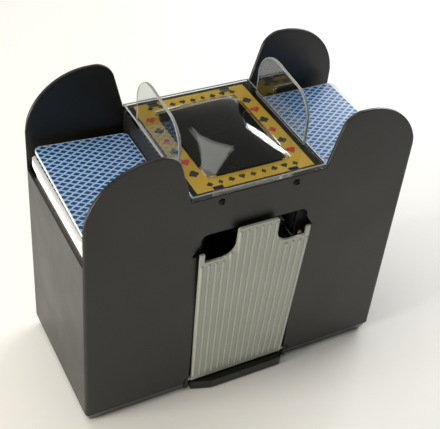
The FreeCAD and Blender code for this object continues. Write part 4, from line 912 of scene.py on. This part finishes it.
END_BAND_Y = (-41.75, 43.5)
SMALL_COUNT = 9
SMALL_PITCH = 7.4
SMALL_SIZE = 4.4
SMALL_SUITS = ("spade", "diamond", "club", "heart")
end_marks = [
    (SMALL_SUITS[number % 4], (number - SMALL_COUNT // 2) * SMALL_PITCH, y, SMALL_SIZE)
    for y in END_BAND_Y for number in range(SMALL_COUNT)
]
red = [mark for mark in side_marks if mark[0] in ("heart", "diamond")]
black = [mark for mark in side_marks if mark[0] in ("club", "spade")] + end_marks
marks("red_suit_marks", "red_ink", red)
marks("black_suit_marks", "black_ink", black)
print(len(red), "red marks and", len(black), "black ones")

# %% [markdown]
# ## The decks
# Loaded cards never lie quite true. Each deck is a pile of thin rounded slabs, a pair of cards
# each, nudged by amounts drawn from a seeded generator. Above the low end walls nothing holds
# the cards, and they lean outwards. On the left the topmost few are lifted at the back, over a
# dark gap, so a loose card is a sheet with enough points to bend.

# %% Sheets that bend
LIFT_BACK = 4.2                 # how far the lifted packet rises at its outer back corner
LIFT_SIDE = 1.3                 # and at its outer front corner
LIFT_POWER = 1.5
SHEET_SHARES = (0.03, 0.35, 0.68, 1.0)


def lifted(points, middle, outwards, base):
    """Raises points by a share u across (1 at the outer side) and v along (1 at the back).

    The rise over the base plane is LIFT_BACK u v^1.5 + LIFT_SIDE u (1 - v).
    """
    u = np.clip(0.5 + outwards * (points[:, 0] - middle[0]) / CARD_MM[0], 0, 1)
    v = np.clip(0.5 + (points[:, 1] - middle[1]) / CARD_MM[1], 0, 1)
    rise = LIFT_BACK * u * v ** LIFT_POWER + LIFT_SIDE * u * (1 - v)
    return np.column_stack([points[:, :2], points[:, 2] + base + rise])


def bending_sheet(outline, low, high):
    """A thin sheet whose faces have rings of points, so that it can bend.

    The rings are the outline scaled about its middle by each share: outwards underneath, and
    back inwards on top.
    """
    middle = outline.mean(0)
    scales = np.array([*SHEET_SHARES, *SHEET_SHARES[::-1]])
    heights = np.repeat([low, high], len(SHEET_SHARES))
    flat = middle + scales[:, None, None] * (outline - middle)
    levels = np.broadcast_to(heights[:, None, None], (*flat.shape[:2], 1))
    return np.concatenate([flat, levels], -1).reshape(-1, 3), ring_faces(len(scales), len(outline))


print("a loose card has", len(bending_sheet(rectangle(1, 1, 0.2), 0, 1)[0]), "points")

# %% Piles of cards
CARD_CORNER = 3.2
CARD_TRIM = 0.2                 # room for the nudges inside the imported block
CORNER_STEPS = 3
PAIR_MM = 0.6                   # two real cards, because one is too thin to show
PILE_FILL = 0.94                # the part of a pair's height that is card, in the pile
LOOSE_FILL = 0.9                # and in the loose pairs on top
NUDGE_MM = 0.14
END_WALL_TOP = 144.2
LEAN_RISE = 9.0                 # the lean grows over this height above the end wall
SEED = 52
DECKS = {                       # outwards, lean in mm, loose pairs, height where they start
    "left": (-1, 2.3, 4, 158.0),
    "right": (1, 2.9, 2, 163.0),
}
draws = np.random.default_rng(SEED)
card = rectangle(CARD_MM[0] / 2 - CARD_TRIM, CARD_MM[1] / 2 - CARD_TRIM, CARD_CORNER, CORNER_STEPS)


def pile_of_pairs(where, base, outwards, lean, nudges):
    """A pile of slabs, each one pair of cards, whose lean grows above the end wall."""
    all_points, all_faces = [], []
    for number, nudge in enumerate(nudges):
        pair_low = base + number * PAIR_MM
        shift = outwards * lean * ramp(pair_low - END_WALL_TOP, LEAN_RISE)
        outline = card + where + nudge + (shift, 0)
        points, faces = slab(outline, pair_low, pair_low + PILE_FILL * PAIR_MM, 0.0, 1)
        all_faces += [[corner + number * len(points) for corner in face] for face in faces]
        all_points.append(points)
    return np.concatenate(all_points), all_faces


for side, (outwards, lean, loose, loose_base) in DECKS.items():
    low, high = corners_mm(f"{side}_card_stack")
    middle = (low + high) / 2
    pairs = int((loose_base - low[2]) / PAIR_MM)
    nudges = draws.uniform(-NUDGE_MM, NUDGE_MM, (pairs + loose, 2))
    cut_edges = finishes["playing_cards"]
    print_finish = card_back(f"{side}_card_back_print", middle[:2].tolist())
    points, faces = pile_of_pairs(middle[:2], low[2], outwards, lean, nudges[:pairs])
    pile = add_piece(f"{side}_deck", points, faces, print_finish, f"{side}_cards",
                     rim_finish=cut_edges)
    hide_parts(f"{side}_card_stack")
    top_shift = (0.0 if side == "left" else lean, 0.0)
    for number in range(loose):
        is_top = number == loose - 1
        nudge = nudges[pairs + number] * (not is_top)
        points, faces = bending_sheet(card + middle[:2] + nudge + top_shift,
                                      number * PAIR_MM, (number + LOOSE_FILL) * PAIR_MM)
        if side == "left":
            points = lifted(points, middle, outwards, loose_base)
        else:
            points[:, 2] += high[2] - loose * PAIR_MM
        add_piece(f"{side}_top_card" if is_top else f"{side}_loose_pair_{number + 1}", points, faces,
                  print_finish if is_top else cut_edges, f"{side}_cards")
    print(side, "deck of", pairs + loose, "pairs")


# %% [markdown]
# ## Cross-head screws
# Two pan-head screws hold the cover at the front and two at the back. The head is a height
# field over a disc: a flattened dome, from which two crossing slots are sunk.

# %% A screw head
HEAD_RINGS = 16
HEAD_RAYS = 48
FLATTENING = 0.75               # 1 would be half a ball, and 0 a flat coin
SLOT_BLUR = 0.12


def cross_head(radius, rise, slot_half, slot_reach, depth):
    """A disc of rings and rays. Height: rise sqrt(1 - 0.75 (r / R)^2), less the depth where either
    slot passes, which is where |u| is under half its width and |v| under its reach."""
    r, turn = np.meshgrid(np.linspace(0, 1, HEAD_RINGS + 1)[1:],
                          np.arange(HEAD_RAYS) * 2 * math.pi / HEAD_RAYS, indexing="ij")
    u, v = radius * r * np.cos(turn), radius * r * np.sin(turn)
    slots = np.maximum(
        (1 - ramp(np.abs(u) - slot_half, SLOT_BLUR)) * (1 - ramp(np.abs(v) - slot_reach, SLOT_BLUR)),
        (1 - ramp(np.abs(v) - slot_half, SLOT_BLUR)) * (1 - ramp(np.abs(u) - slot_reach, SLOT_BLUR)))
    height = rise * np.sqrt(1 - FLATTENING * r ** 2) - depth * slots
    field = np.stack([u, v, height], -1)[::-1].reshape(-1, 3)
    rim = np.column_stack([field[:HEAD_RAYS, 0], field[:HEAD_RAYS, 1], np.zeros(HEAD_RAYS)])
    return np.concatenate([rim, field]), ring_faces(HEAD_RINGS + 1, HEAD_RAYS)


SCREW_X, SCREW_Z = 26.0, 169.0
screw_points, screw_faces = cross_head(radius=2.3, rise=1.2, slot_half=0.28, slot_reach=1.25, depth=0.75)
all_points, all_faces = [], []
for end in (-1, 1):
    for sign in (-1, 1):
        placed = np.column_stack([
            sign * SCREW_X + screw_points[:, 0],
            end * (case_high[1] + screw_points[:, 2]),
            SCREW_Z + screw_points[:, 1]])
        first = len(all_points) * len(screw_points)
        all_faces += [[corner + first for corner in face] for face in screw_faces]
        all_points.append(placed)
heads = add_piece("cross_head_screws", np.concatenate(all_points), all_faces, finishes["screw_black"],
                  "case")
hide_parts("cover_screws")
print(len(all_points), "cross heads")

# %% [markdown]
# ## The floor
# The shuffler stands on a plain pale sheet of paper, far wider than the view.

# %% A pale floor
FLOOR_HALF = 4.0
floor_mesh = bpy.data.meshes.new("pale_floor")
floor_mesh.from_pydata([(-FLOOR_HALF, -FLOOR_HALF, 0), (FLOOR_HALF, -FLOOR_HALF, 0),
                        (FLOOR_HALF, FLOOR_HALF, 0), (-FLOOR_HALF, FLOOR_HALF, 0)], [], [(0, 1, 2, 3)])
material, tree, shader, place = start_material("pale_floor_paper", "#f4f4f2", 0.85)
skin(tree, shader, place, pit_mm=2.0, depth_mm=0.02, patch_mm=300, roughness=(0.8, 0.9),
     tones=("#f2f2f0", "#f6f6f4"))
floor_mesh.materials.append(material)
floor = bpy.data.objects.new("pale_floor", floor_mesh)
scene.collection.objects.link(floor)
print("floor", 2 * FLOOR_HALF, "m across")

# %% [markdown]
# ## The lights
# A low warm light at the left models the end wall and the left flanks of the ribs. A broad one
# overhead lights the cards and the label. A third, behind on the right, is mirrored by the
# dome as a bright crescent. A little light from all round keeps the shadows open.

# %% Soft lights
LIGHTS = (                      # name, place and size in metres, watts, tint
    ("left_softbox", (-1.2, 0.0, 0.26), (0.5, 0.3), 19, "#fff4e4"),
    ("overhead_softbox", (-0.25, 0.2, 1.3), (1.5, 1.0), 10, "#fffdf6"),
    ("right_rear_softbox", (1.05, 0.5, 0.62), (0.9, 0.5), 11, "#ffffff"),
)
AIM_PLACE = Vector((0, 0, 0.1))
AIR_STRENGTH = 0.2
for name, place_m, size, watts, tint in LIGHTS:
    light = bpy.data.lights.new(name, "AREA")
    light.shape = "RECTANGLE"
    light.size, light.size_y = size
    light.energy = watts
    light.color = linear(tint)[:3]
    lamp = bpy.data.objects.new(name, light)
    scene.collection.objects.link(lamp)
    lamp.location = place_m
    lamp.rotation_euler = (Vector(place_m) - AIM_PLACE).to_track_quat("Z", "Y").to_euler()

world = bpy.data.worlds.new("studio_air")
world.use_nodes = True
air = world.node_tree.nodes["Background"]
air.inputs["Color"].default_value = linear("#f5f2ec")
air.inputs["Strength"].default_value = AIR_STRENGTH
scene.world = world
print(len(LIGHTS), "soft lights")
